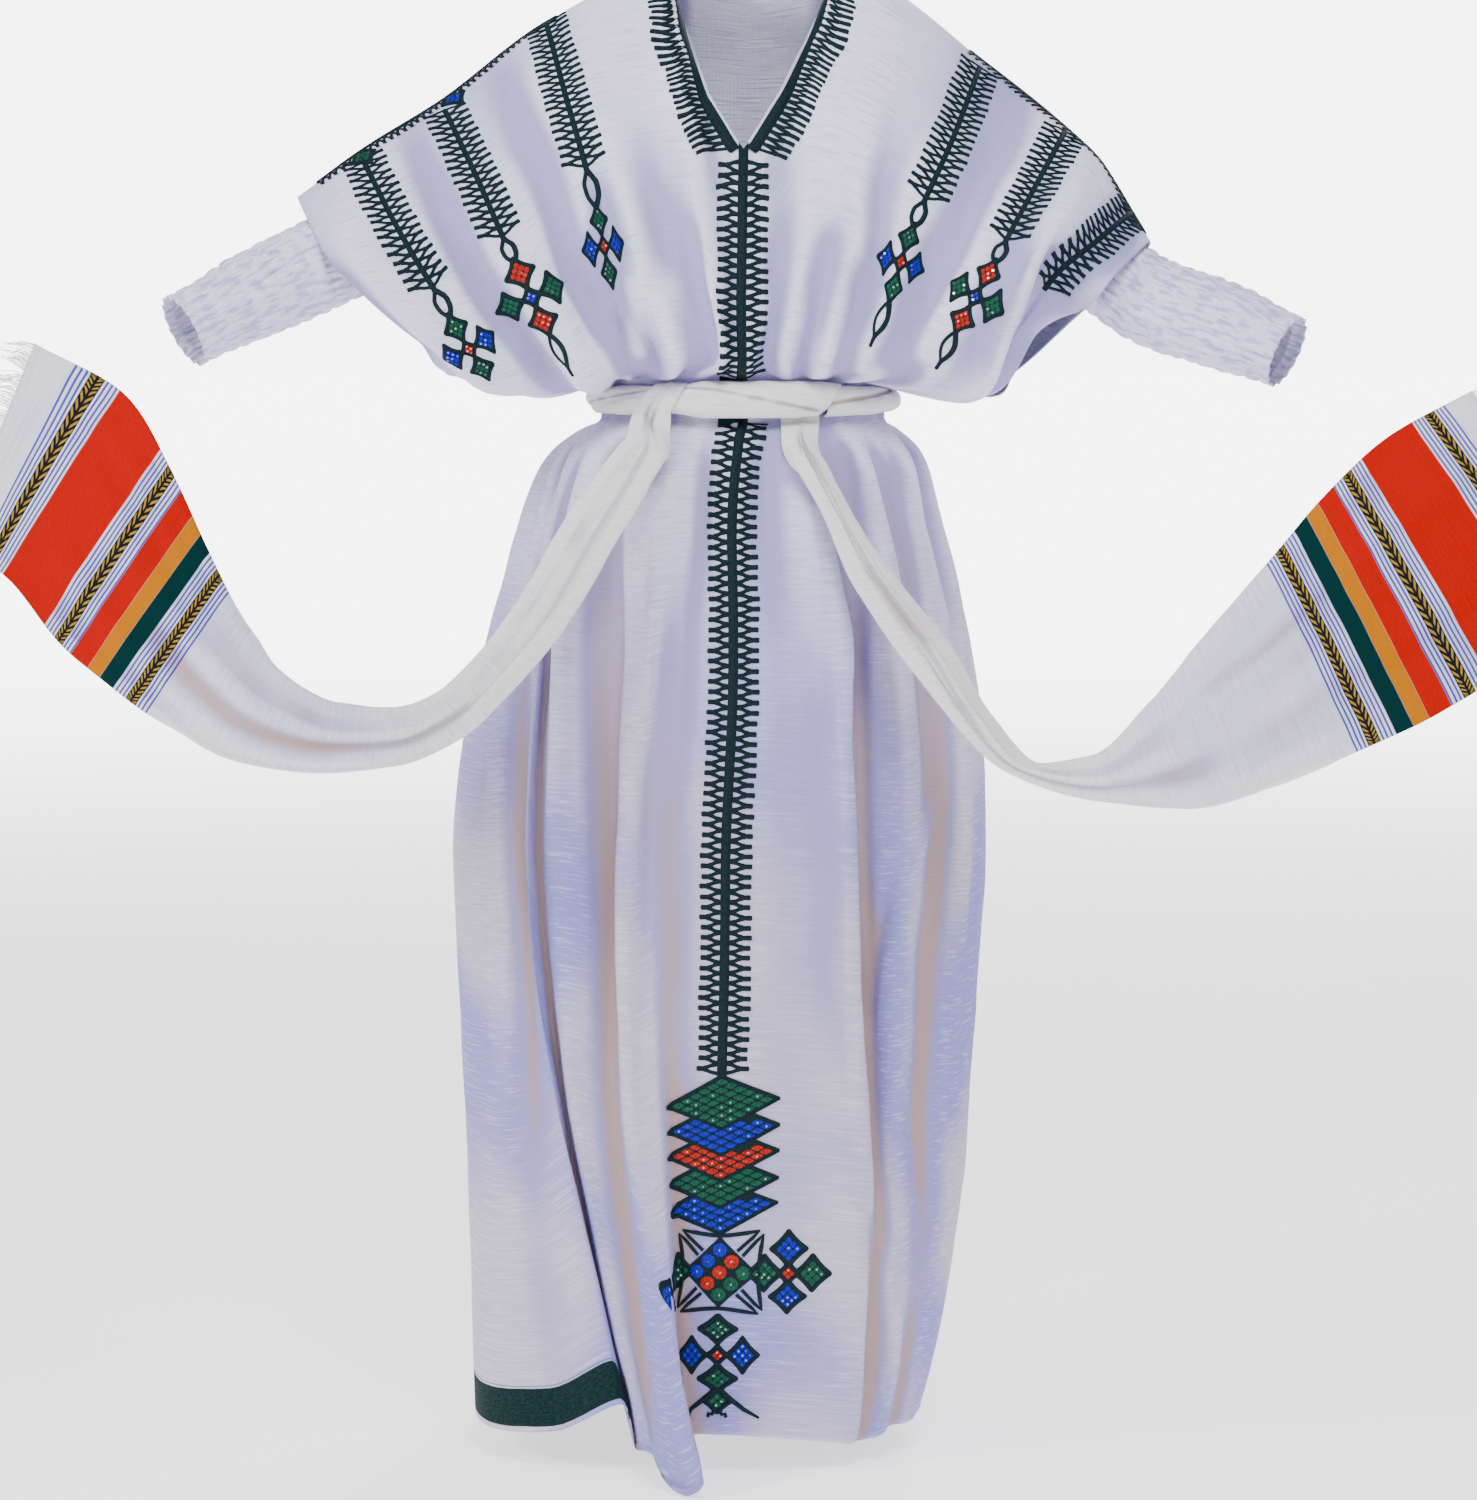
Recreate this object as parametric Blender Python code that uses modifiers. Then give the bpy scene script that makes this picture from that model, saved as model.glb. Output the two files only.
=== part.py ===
"""Habesha kemis: an Ethiopian cotton dress of two wide panels, with shirred sleeves and a knotted sash.

+X is the wearer's left, -Y the front and +Z up. The origin lies between the shoulders, on the shoulder line.
Every cloth piece is a lofted sheet given its thickness, or a lofted wall, and stands free of its neighbours.
"""

import math

import bmesh
import bpy
import numpy as np

# ---- sizes in metres ----
WALL = 0.0020  # double hand-woven cotton
SEAM = 0.0004  # gap between the edges of two sewn pieces
SHIRRED_WALL = 0.0016
SASH_WALL = 0.0020
WAIST_Z = -0.385  # height of the middle of the belt
GROOVE_SIDE, GROOVE_FRONT = 0.0175, 0.0200  # half height of the waist under the belt
TURN_RADIUS, HEM_BAND = 0.011, 0.047  # roll of the turned hem, and the height of the border below it
ROUND_POWER = 2.3  # how square the skirt is seen from above: 2 is an ellipse

# ---- rings of the skirt: height, wearer's right, wearer's left, front, back ----
SKIRT_RINGS = (
    (-0.385, -0.139, 0.135, -0.110, 0.102),
    (-0.4045, -0.140, 0.136, -0.1105, 0.1025),
    (-0.414, -0.160, 0.150, -0.1170, 0.1090),
    (-0.434, -0.184, 0.168, -0.124, 0.120),
    (-0.483, -0.209, 0.184, -0.131, 0.130),
    (-0.580, -0.240, 0.210, -0.138, 0.146),
    (-0.727, -0.276, 0.233, -0.142, 0.155),
    (-0.826, -0.285, 0.235, -0.143, 0.158),
    (-1.000, -0.279, 0.226, -0.142, 0.162),
    (-1.177, -0.272, 0.213, -0.138, 0.167),
    (-1.330, -0.270, 0.187, -0.128, 0.172),
    (-1.430, -0.262, 0.160, -0.122, 0.175),
)

# ---- lines down the upper half: name, place across the panel from -1 to 1, then the points from the
# shoulder or neck edge down to just above the belt ----
DOWN = (0.0, 0.13, 0.37, 0.63, 0.85, 1.0)  # how far down the upper half those points are; 1 is the belt
FRONT_LINES = (
    ("right cuff", -1.000, (-0.416, -0.125, -0.196), (-0.390, -0.180, -0.240), (-0.360, -0.180, -0.278),
     (-0.305, -0.148, -0.328), (-0.249, -0.085, -0.364)),
    ("right band C", -0.840, (-0.360, -0.100, -0.153), (-0.326, -0.160, -0.213), (-0.283, -0.176, -0.285),
     (-0.249, -0.153, -0.344), (-0.213, -0.107, -0.381)),
    ("right band B", -0.630, (-0.287, -0.055, -0.103), (-0.253, -0.118, -0.166), (-0.215, -0.153, -0.250),
     (-0.181, -0.148, -0.319), (-0.151, -0.115, -0.371)),
    ("right band A", -0.390, (-0.191, -0.005, -0.026), (-0.171, -0.087, -0.091), (-0.142, -0.135, -0.190),
     (-0.121, -0.142, -0.282), (-0.096, -0.128, -0.351)),
    ("right neck side", -0.170, (-0.074, -0.010, 0.023), (-0.065, -0.088, -0.068), (-0.051, -0.130, -0.181),
     (-0.040, -0.139, -0.273), (-0.029, -0.134, -0.345)),
    ("right of the V", -0.085, (-0.036, -0.098, -0.096), (-0.031, -0.113, -0.140), (-0.027, -0.134, -0.213),
     (-0.022, -0.140, -0.288), (-0.016, -0.135, -0.347)),
    ("middle", 0.000, (-0.002, -0.122, -0.152), (-0.002, -0.130, -0.187), (-0.002, -0.138, -0.236),
     (-0.003, -0.141, -0.296), (-0.003, -0.136, -0.349)),
    ("left of the V", 0.085, (0.037, -0.098, -0.089), (0.029, -0.113, -0.140), (0.025, -0.134, -0.213),
     (0.023, -0.140, -0.288), (0.017, -0.135, -0.348)),
    ("left neck side", 0.170, (0.089, -0.010, 0.023), (0.074, -0.088, -0.068), (0.060, -0.130, -0.181),
     (0.051, -0.139, -0.273), (0.040, -0.134, -0.348)),
    ("left band A", 0.390, (0.225, -0.005, -0.060), (0.197, -0.087, -0.128), (0.154, -0.137, -0.222),
     (0.132, -0.142, -0.291), (0.109, -0.126, -0.355)),
    ("left band B", 0.630, (0.307, -0.055, -0.131), (0.276, -0.124, -0.180), (0.234, -0.166, -0.253),
     (0.200, -0.160, -0.314), (0.169, -0.112, -0.371)),
    ("left sleeve fold", 0.730, (0.334, -0.070, -0.159), (0.309, -0.144, -0.196), (0.275, -0.188, -0.246),
     (0.247, -0.176, -0.314), (0.207, -0.112, -0.385)),
    ("left band C", 0.850, (0.363, -0.095, -0.209), (0.326, -0.152, -0.236), (0.286, -0.160, -0.268),
     (0.250, -0.124, -0.321), (0.213, -0.078, -0.384)),
    ("left cuff", 1.000, (0.377, -0.125, -0.237), (0.345, -0.174, -0.262), (0.316, -0.166, -0.297),
     (0.276, -0.118, -0.319), (0.217, -0.055, -0.381)),
)
BACK_LINES = (
    ("right cuff", -1.000, (-0.416, -0.125, -0.196), (-0.398, -0.072, -0.232), (-0.345, -0.022, -0.290),
     (-0.292, -0.020, -0.345), (-0.249, -0.085, -0.364)),
    ("right band C", -0.840, (-0.360, -0.100, -0.153), (-0.345, -0.030, -0.190), (-0.295, 0.020, -0.275),
     (-0.255, 0.030, -0.338), (-0.213, 0.010, -0.373)),
    ("right band B", -0.630, (-0.287, -0.055, -0.103), (-0.275, 0.025, -0.150), (-0.240, 0.072, -0.245),
     (-0.212, 0.082, -0.318), (-0.178, 0.066, -0.366)),
    ("right band A", -0.390, (-0.191, -0.005, -0.026), (-0.183, 0.070, -0.085), (-0.158, 0.112, -0.190),
     (-0.143, 0.120, -0.282), (-0.118, 0.106, -0.355)),
    ("right neck side", -0.170, (-0.074, -0.010, 0.023), (-0.082, 0.082, -0.050), (-0.076, 0.130, -0.170),
     (-0.066, 0.136, -0.273), (-0.055, 0.124, -0.350)),
    ("right of the nape", -0.085, (-0.046, 0.045, 0.016), (-0.041, 0.098, -0.050), (-0.038, 0.138, -0.170),
     (-0.033, 0.141, -0.273), (-0.028, 0.128, -0.350)),
    ("middle", 0.000, (0.006, 0.068, 0.010), (0.004, 0.104, -0.052), (0.002, 0.141, -0.170),
     (0.000, 0.142, -0.273), (0.000, 0.129, -0.350)),
    ("left of the nape", 0.085, (0.060, 0.045, 0.016), (0.052, 0.098, -0.050), (0.043, 0.138, -0.170),
     (0.036, 0.141, -0.273), (0.028, 0.128, -0.350)),
    ("left neck side", 0.170, (0.089, -0.010, 0.023), (0.092, 0.082, -0.052), (0.082, 0.130, -0.172),
     (0.070, 0.136, -0.273), (0.055, 0.124, -0.350)),
    ("left band A", 0.390, (0.225, -0.005, -0.060), (0.212, 0.066, -0.112), (0.172, 0.110, -0.205),
     (0.150, 0.118, -0.290), (0.120, 0.104, -0.356)),
    ("left band B", 0.630, (0.307, -0.055, -0.131), (0.290, 0.018, -0.175), (0.250, 0.065, -0.255),
     (0.218, 0.076, -0.322), (0.180, 0.062, -0.368)),
    ("left band C", 0.850, (0.363, -0.095, -0.209), (0.348, -0.032, -0.228), (0.300, 0.012, -0.290),
     (0.258, 0.020, -0.345), (0.214, 0.002, -0.378)),
    ("left cuff", 1.000, (0.377, -0.125, -0.237), (0.366, -0.074, -0.264), (0.321, -0.050, -0.302),
     (0.262, -0.040, -0.356), (0.217, -0.055, -0.381)),
)

# ---- soft folds of the upper half: name, panel, from (across, down), to (across, down), width, height out ----
UPPER_FOLDS = (
    ("right breast fold", "front", (-0.330, 0.30), (-0.290, 0.98), 0.016, 0.013),
    ("beside the right breast fold", "front", (-0.375, 0.35), (-0.350, 0.95), 0.020, -0.010),
    ("right shoulder dip", "front", (-0.500, 0.10), (-0.440, 0.80), 0.024, -0.010),
    ("right sleeve dip", "front", (-0.735, 0.08), (-0.690, 0.80), 0.022, -0.009),
    ("right sleeve swell", "front", (-0.620, 0.35), (-0.560, 0.92), 0.030, 0.010),
    ("right cuff roll", "front", (-0.930, 0.15), (-0.900, 0.75), 0.022, 0.007),
    ("left breast fold", "front", (0.300, 0.42), (0.240, 1.00), 0.014, 0.012),
    ("beside the left breast fold", "front", (0.235, 0.50), (0.195, 0.98), 0.018, -0.009),
    ("left shoulder dip", "front", (0.500, 0.08), (0.440, 0.85), 0.024, -0.011),
    ("left band swell", "front", (0.400, 0.45), (0.370, 0.92), 0.022, 0.008),
    ("middle swell", "front", (-0.120, 0.45), (-0.110, 0.95), 0.020, 0.006),
    ("left middle dip", "front", (0.110, 0.40), (0.100, 0.95), 0.020, -0.006),
    ("nape dip", "back", (-0.150, 0.25), (-0.100, 0.98), 0.024, -0.010),
    ("nape swell", "back", (0.020, 0.30), (0.030, 0.98), 0.026, 0.010),
    ("left nape dip", "back", (0.170, 0.30), (0.130, 0.98), 0.022, -0.010),
    ("right blade fold", "back", (-0.380, 0.25), (-0.300, 0.98), 0.024, 0.012),
    ("left blade fold", "back", (0.360, 0.25), (0.300, 0.98), 0.024, 0.012),
    ("right back sleeve dip", "back", (-0.560, 0.12), (-0.480, 0.90), 0.024, -0.011),
    ("left sleeve dip", "back", (0.540, 0.12), (0.470, 0.90), 0.024, -0.011),
    ("right cuff swell", "back", (-0.760, 0.20), (-0.720, 0.80), 0.026, 0.008),
    ("left cuff swell", "back", (0.760, 0.20), (0.720, 0.80), 0.026, 0.008),
)

# ---- folds of the skirt: line, place across, turn round the ring at the six levels in degrees, distance out
# of the ring at those levels in mm, height where the border starts, how far the border is rolled under (0 to 1),
# and how far it hangs in mm ----
LEVELS = (0.0, 0.09, 0.29, 0.60, 0.85, 1.0)
FRONT_FOLDS = (
    ("right side seam", -1.00, (0, 0, 0, 0, 0, 0), (0, 0, 0, 0, 0, 0), -1.334, 0, 47),
    ("ridge 1", -0.86, (10, 18, 27, 33, 31, 28), (0, 2, 6, 8, 8, 6), -1.342, 0, 47),
    ("dip 1", -0.76, (17, 26, 37, 44, 48, 53), (0, -3, -4, -3, 1, 3), -1.334, 0, 47),
    ("edge 2", -0.68, (23, 31, 44, 50, 62, 71), (0, -1, 0, 1, 6, 14), -1.298, 0, 47),
    ("deep 2", -0.60, (29, 36, 47, 53, 65, 76), (0, -10, -17, -19, -17, -32), -1.397, 0, 9),
    ("ridge 3", -0.50, (38, 45, 55, 59, 70, 81), (0, 6, 10, 8, 14, 34), -1.379, 0, 8),
    ("dip 4", -0.38, (50, 58, 67, 68, 75, 84), (0, -10, -12, -6, 10, 48), -1.400, 0, 8),
    ("ridge 5", -0.22, (66, 71, 75, 75, 81, 89), (0, 6, 9, 10, 26, 66), -1.4105, 0, 8),
    ("tongue edge", -0.17, (72, 75, 78, 79, 84, 91), (0, 3, 4, 6, 28, 68), -1.396, 0, 8),
    ("under the tongue", -0.14, (76, 79, 82, 82, 84, 88), (0, 0, 0, 0, 0, 4), -1.378, 0, 9),
    ("middle", 0.00, (90, 90, 91, 91, 92, 94), (0, 0, 2, 3, 3, 5), -1.369, 1, 9),
    ("flat", 0.10, (99, 100, 102, 103, 105, 107), (0, 1, 3, 4, 3, 4), -1.374, 1, 9),
    ("left ridge 5", 0.20, (110, 112, 114, 118, 123, 129), (0, 6, 12, 12, 9, 6), -1.385, 1, 9),
    ("left deep 4", 0.32, (120, 120, 120, 123, 129, 136), (0, -12, -20, -13, -6, -8), -1.389, 1, 9),
    ("left ridge 3", 0.48, (130, 131, 131, 130, 138, 143), (0, 4, 6, 3, 3, 4), -1.384, 1, 9),
    ("left dip 2", 0.62, (141, 141, 142, 141, 147, 151), (0, -8, -15, -5, -3, -6), -1.381, 1, 9),
    ("left ridge 1", 0.80, (157, 156, 155, 154, 159, 160), (0, 2, 4, 3, 4, 4), -1.379, 1, 9),
    ("left side seam", 1.00, (180, 180, 180, 180, 180, 180), (0, 0, 0, 0, 0, 0), -1.376, 1, 9),
)
BACK_FOLDS = (
    ("right side seam", -1.00, (0, 0, 0, 0, 0, 0), (0, 0, 0, 0, 0, 0), -1.334, 0, 47),
    ("ridge 1", -0.86, (12, 13, 14, 15, 15, 15), (0, 3, 7, 8, 8, 8), -1.340, 0, 47),
    ("dip 2", -0.70, (27, 27, 28, 28, 28, 28), (0, -8, -13, -14, -12, -10), -1.342, 0, 47),
    ("ridge 3", -0.55, (40, 41, 42, 43, 43, 42), (0, 6, 12, 14, 15, 14), -1.352, 0, 47),
    ("dip 4", -0.38, (56, 56, 55, 55, 56, 57), (0, -9, -15, -15, -12, -10), -1.350, 0, 47),
    ("ridge 5", -0.22, (70, 70, 70, 71, 72, 72), (0, 5, 13, 15, 16, 16), -1.358, 0, 47),
    ("dip 6", -0.06, (85, 85, 84, 84, 84, 84), (0, -8, -14, -16, -14, -12), -1.354, 0, 47),
    ("ridge 7", 0.10, (99, 99, 99, 98, 98, 98), (0, 6, 12, 15, 17, 18), -1.360, 0, 47),
    ("dip 8", 0.26, (113, 113, 113, 112, 112, 112), (0, -9, -15, -14, -12, -12), -1.354, 0, 47),
    ("ridge 9", 0.42, (128, 127, 127, 127, 126, 126), (0, 5, 12, 14, 15, 14), -1.358, 0, 47),
    ("dip 10", 0.58, (142, 142, 142, 142, 142, 141), (0, -8, -14, -14, -12, -10), -1.352, 0, 47),
    ("ridge 11", 0.76, (158, 158, 158, 158, 158, 158), (0, 4, 8, 9, 9, 8), -1.358, 0, 42),
    ("left side seam", 1.00, (180, 180, 180, 180, 180, 180), (0, 0, 0, 0, 0, 0), -1.376, 1, 9),
)
GATHERS = 13.0  # gather waves across each panel at the belt
GATHER_AT_BELT, GATHER_BELOW, GATHER_ABOVE = 0.0016, 0.0045, 0.0040

# ---- shirred sleeves: name, side, then rows of middle of the arm and radius from the top end to the wrist ----
SLEEVES = (
    ("sleeve_shirred_right", (
        (-0.220, -0.036, -0.128, 0.0360), (-0.275, -0.070, -0.178, 0.0360), (-0.345, -0.112, -0.229, 0.0375),
        (-0.379, -0.130, -0.250, 0.0389), (-0.450, -0.166, -0.286, 0.0365), (-0.500, -0.194, -0.313, 0.0310),
        (-0.5125, -0.201, -0.320, 0.0310))),
    ("sleeve_shirred_left", (
        (0.228, -0.034, -0.145, 0.0350), (0.280, -0.070, -0.208, 0.0350), (0.340, -0.113, -0.266, 0.0362),
        (0.378, -0.131, -0.292, 0.0375), (0.437, -0.166, -0.314, 0.0365), (0.482, -0.194, -0.333, 0.0310),
        (0.4945, -0.201, -0.339, 0.0300))),
)
PUFF_ROWS, PUFF = 9, 0.0022  # rows of puffs along the arm, and how far a puff stands out

# ---- sash: rows of name, upper edge, lower edge, width turned behind each edge, bulge, and how far
# it is turned ----
RIGHT_TAIL = (
    ("off the belt", (-0.113, -0.1420, -0.413), (-0.070, -0.1480, -0.419), 0.010, 0.003, 70),
    ("upper thigh", (-0.142, -0.160, -0.455), (-0.090, -0.166, -0.464), 0.020, 0.003, 160),
    ("thigh", (-0.179, -0.170, -0.512), (-0.126, -0.174, -0.525), 0.022, 0.004, 180),
    ("over the skirt", (-0.213, -0.182, -0.571), (-0.165, -0.186, -0.590), 0.022, 0.005, 180),
    ("skirt edge", (-0.252, -0.198, -0.620), (-0.210, -0.202, -0.644), 0.022, 0.006, 180),
    ("leaving", (-0.286, -0.216, -0.650), (-0.258, -0.216, -0.690), 0.022, 0.006, 180),
    ("lowest", (-0.321, -0.236, -0.662), (-0.321, -0.231, -0.717), 0.020, 0.007, 175),
    ("rising", (-0.369, -0.252, -0.656), (-0.389, -0.246, -0.722), 0.016, 0.009, 150),
    ("opening", (-0.417, -0.262, -0.629), (-0.459, -0.256, -0.712), 0.012, 0.011, 115),
    ("open", (-0.456, -0.268, -0.576), (-0.525, -0.262, -0.679), 0.007, 0.012, 70),
    ("borders", (-0.486, -0.270, -0.511), (-0.578, -0.268, -0.637), 0.004, 0.010, 30),
    ("red border", (-0.514, -0.270, -0.446), (-0.619, -0.270, -0.600), 0.003, 0.008, 12),
    ("held", (-0.556, -0.262, -0.377), (-0.664, -0.272, -0.541), 0.003, 0.005, 5),
    ("end", (-0.638, -0.255, -0.331), (-0.709, -0.275, -0.508), 0.003, 0.000, 3),
)
LEFT_TAIL = (
    ("off the belt", (0.068, -0.1300, -0.416), (0.034, -0.1330, -0.418), 0.006, 0.001, 40),
    ("upper thigh", (0.087, -0.1490, -0.460), (0.053, -0.1510, -0.453), 0.014, 0.003, 130),
    ("thigh", (0.111, -0.1590, -0.505), (0.074, -0.1620, -0.491), 0.020, 0.004, 180),
    ("over the skirt", (0.142, -0.168, -0.548), (0.094, -0.173, -0.541), 0.024, 0.004, 180),
    ("skirt edge", (0.171, -0.180, -0.583), (0.119, -0.186, -0.582), 0.024, 0.005, 180),
    ("leaving", (0.192, -0.193, -0.610), (0.146, -0.198, -0.620), 0.024, 0.006, 180),
    ("outside", (0.226, -0.215, -0.668), (0.180, -0.211, -0.664), 0.022, 0.006, 180),
    ("lowest", (0.271, -0.238, -0.712), (0.240, -0.230, -0.724), 0.020, 0.006, 180),
    ("rising", (0.316, -0.253, -0.704), (0.322, -0.246, -0.748), 0.018, 0.008, 170),
    ("opening", (0.366, -0.263, -0.654), (0.403, -0.256, -0.753), 0.012, 0.011, 130),
    ("open", (0.419, -0.271, -0.589), (0.479, -0.263, -0.734), 0.006, 0.012, 80),
    ("plain", (0.470, -0.273, -0.527), (0.556, -0.267, -0.699), 0.004, 0.011, 40),
    ("borders", (0.521, -0.273, -0.465), (0.630, -0.269, -0.662), 0.003, 0.009, 15),
    ("red border", (0.573, -0.269, -0.416), (0.700, -0.271, -0.615), 0.003, 0.007, 5),
    ("end", (0.651, -0.263, -0.373), (0.780, -0.273, -0.536), 0.003, 0.000, 3),
)
# where each tail leaves the belt: turns of its two edges, bow, and lift
RIGHT_START = ((58.0, 71.0, 78.0, 0.0060), (56.0, 70.0, 38.0, 0.0054), (53.0, 68.0, 0.0, 0.0064),
               (50.0, 66.0, -38.0, 0.0110))
LEFT_START = ((117.5, 102.0, -0.0085, 0.0038), (117.5, 102.0, -0.0190, 0.0052))
TAIL_ROLL = 0.0042  # radius of a turned sash edge
FRINGE_LONG, FRINGE_EDGE, STRANDS = 0.034, 0.005, 24  # strand length, width of their strip, strands


# ---- curves ----
def slopes(places, values):
    """Slopes of a smooth curve through values that never overshoots them."""
    step = np.diff(places)[:, None]
    rise = np.diff(values, axis=0) / step
    result = np.zeros_like(values)
    result[0], result[-1] = rise[0], rise[-1]
    left, right = rise[:-1], rise[1:]
    a, b = 2 * step[1:] + step[:-1], step[1:] + 2 * step[:-1]
    same = left * right > 0
    safe_left, safe_right = np.where(same, left, 1.0), np.where(same, right, 1.0)
    result[1:-1] = np.where(same, (a + b) / (a / safe_left + b / safe_right), 0.0)
    return result


def hermite(places, values, tangents, at):
    """Cubic curve through values with the given tangents, read at each place."""
    at = np.clip(np.asarray(at, float), places[0], places[-1])
    k = np.clip(np.searchsorted(places, at, side="right") - 1, 0, len(places) - 2)
    step = (places[k + 1] - places[k])[:, None]
    t = ((at - places[k])[:, None]) / step
    return (
        (2 * t**3 - 3 * t**2 + 1) * values[k]
        + (t**3 - 2 * t**2 + t) * step * tangents[k]
        + (3 * t**2 - 2 * t**3) * values[k + 1]
        + (t**3 - t**2) * step * tangents[k + 1]
    )


def through(places, values, at):
    """Smooth curve through a table's values, without overshoot."""
    places, values = np.asarray(places, float), np.asarray(values, float)
    flat = values.ndim == 1
    values = values[:, None] if flat else values
    found = hermite(places, values, slopes(places, values), np.atleast_1d(at))
    return found[:, 0] if flat else found


def smooth(low, high, value):
    t = np.clip((value - low) / (high - low), 0.0, 1.0)
    return t * t * (3 - 2 * t)


# ---- the skirt's ring ----
def ring(turn, height, side):
    """Point of the plain ring at a turn in degrees and a height; side is -1 for the front and 1 for the back."""
    table = np.array(SKIRT_RINGS)
    sizes = through(-table[:, 0], table[:, 1:], -np.asarray(height, float).ravel())
    right, left, front, back = (sizes[:, k].reshape(np.shape(height)) for k in range(4))
    angle = np.radians(turn)
    cos, sin = np.cos(angle), np.clip(np.sin(angle), 0.0, 1.0)
    across = np.sign(cos) * np.abs(cos) ** (2 / ROUND_POWER)
    depth = np.where(side < 0, front, back) * sin ** (2 / ROUND_POWER)
    return np.stack([(right + left) / 2 - (left - right) / 2 * across, depth, np.asarray(height, float)], -1)


def ring_out(turn, height, side):
    """Outward direction of that ring, level."""
    low, high = np.clip(turn - 1.5, 0.0, 180.0), np.clip(turn + 1.5, 0.0, 180.0)
    along = ring(high, height, side) - ring(low, height, side)
    out = np.stack([along[..., 1], -along[..., 0], np.zeros_like(along[..., 0])], -1) * -side
    out /= np.linalg.norm(out, axis=-1, keepdims=True)
    near = np.minimum(turn, 180.0 - turn)
    level = np.stack([np.where(turn < 90, -1.0, 1.0), np.zeros_like(near), np.zeros_like(near)], -1)
    share = smooth(0.0, 6.0, near)[..., None]
    out = out * share + level * (1 - share)
    return out / np.linalg.norm(out, axis=-1, keepdims=True)


def groove(turn, side):
    """Half height of the waist under the belt."""
    front = np.sin(np.radians(turn)) ** 2
    return GROOVE_SIDE + (GROOVE_FRONT - GROOVE_SIDE) * front * (1.0 if side < 0 else 0.3)


def skirt_table(folds, across):
    """Turn, distance out, border height, roll and hang of the fold lines, read at each place across."""
    places = [row[1] for row in folds]
    turns = through(places, [row[2] for row in folds], across)
    outs = through(places, [row[3] for row in folds], across) / 1000.0
    hems = through(places, [row[4] for row in folds], across)
    under = through(places, [row[5] for row in folds], across)
    hang = through(places, [row[6] for row in folds], across) / 1000.0
    return turns, outs, hems, under, hang


# ---- the two panels ----
def upper_points(lines, other, across, down, side):
    """Points of the upper half, as an array of rows down by columns across."""
    places = np.array([row[1] for row in lines])
    knots = np.array(DOWN)
    columns = [through(places, [row[2 + k] for row in lines], across) for k in range(5)]
    seam = through([row[1] for row in FRONT_LINES], [row[2] for row in FRONT_LINES], across)
    sewn = smooth(0.165, 0.170, np.abs(across))[:, None]
    columns[0] = columns[0] * (1 - sewn) + seam * sewn
    edge = np.array([row[2] for row in lines])
    straight = np.stack([np.interp(across, places, edge[:, k]) for k in range(3)], -1)
    if side < 0:  # the V is straight; the nape is round
        columns[0] = straight * (1 - sewn) + columns[0] * sewn
    turn = skirt_table(FRONT_FOLDS if side < 0 else BACK_FOLDS, across)[0][:, 0]
    columns.append(ring(turn, WAIST_Z + groove(turn, side), side))
    over_back = through([row[1] for row in other], [row[3] for row in other], across)
    values = np.stack(columns)
    tangents = np.empty_like(values)
    for k in range(1, 5):
        before, after = knots[k] - knots[k - 1], knots[k + 1] - knots[k]
        tangents[k] = (
            (values[k] - values[k - 1]) / before * after + (values[k + 1] - values[k]) / after * before
        ) / (before + after)
    free = (values[1] - values[0]) / knots[1]
    over = (values[1] - over_back) / (2 * knots[1])
    ridge = smooth(0.120, 0.170, np.abs(across))[:, None]
    tangents[0] = 1.25 * over * ridge + free * (1 - ridge)
    last = (values[5] - values[4]) / (knots[5] - knots[4])
    sewn = smooth(0.93, 1.0, np.abs(across))[:, None]
    tangents[4] = tangents[4] * (1 - sewn) + last * sewn
    tangents[5] = last
    points = np.empty((len(down), len(across), 3))
    for c in range(len(across)):
        points[:, c] = hermite(knots, values[:, c], tangents[:, c], down)
    return points


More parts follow.
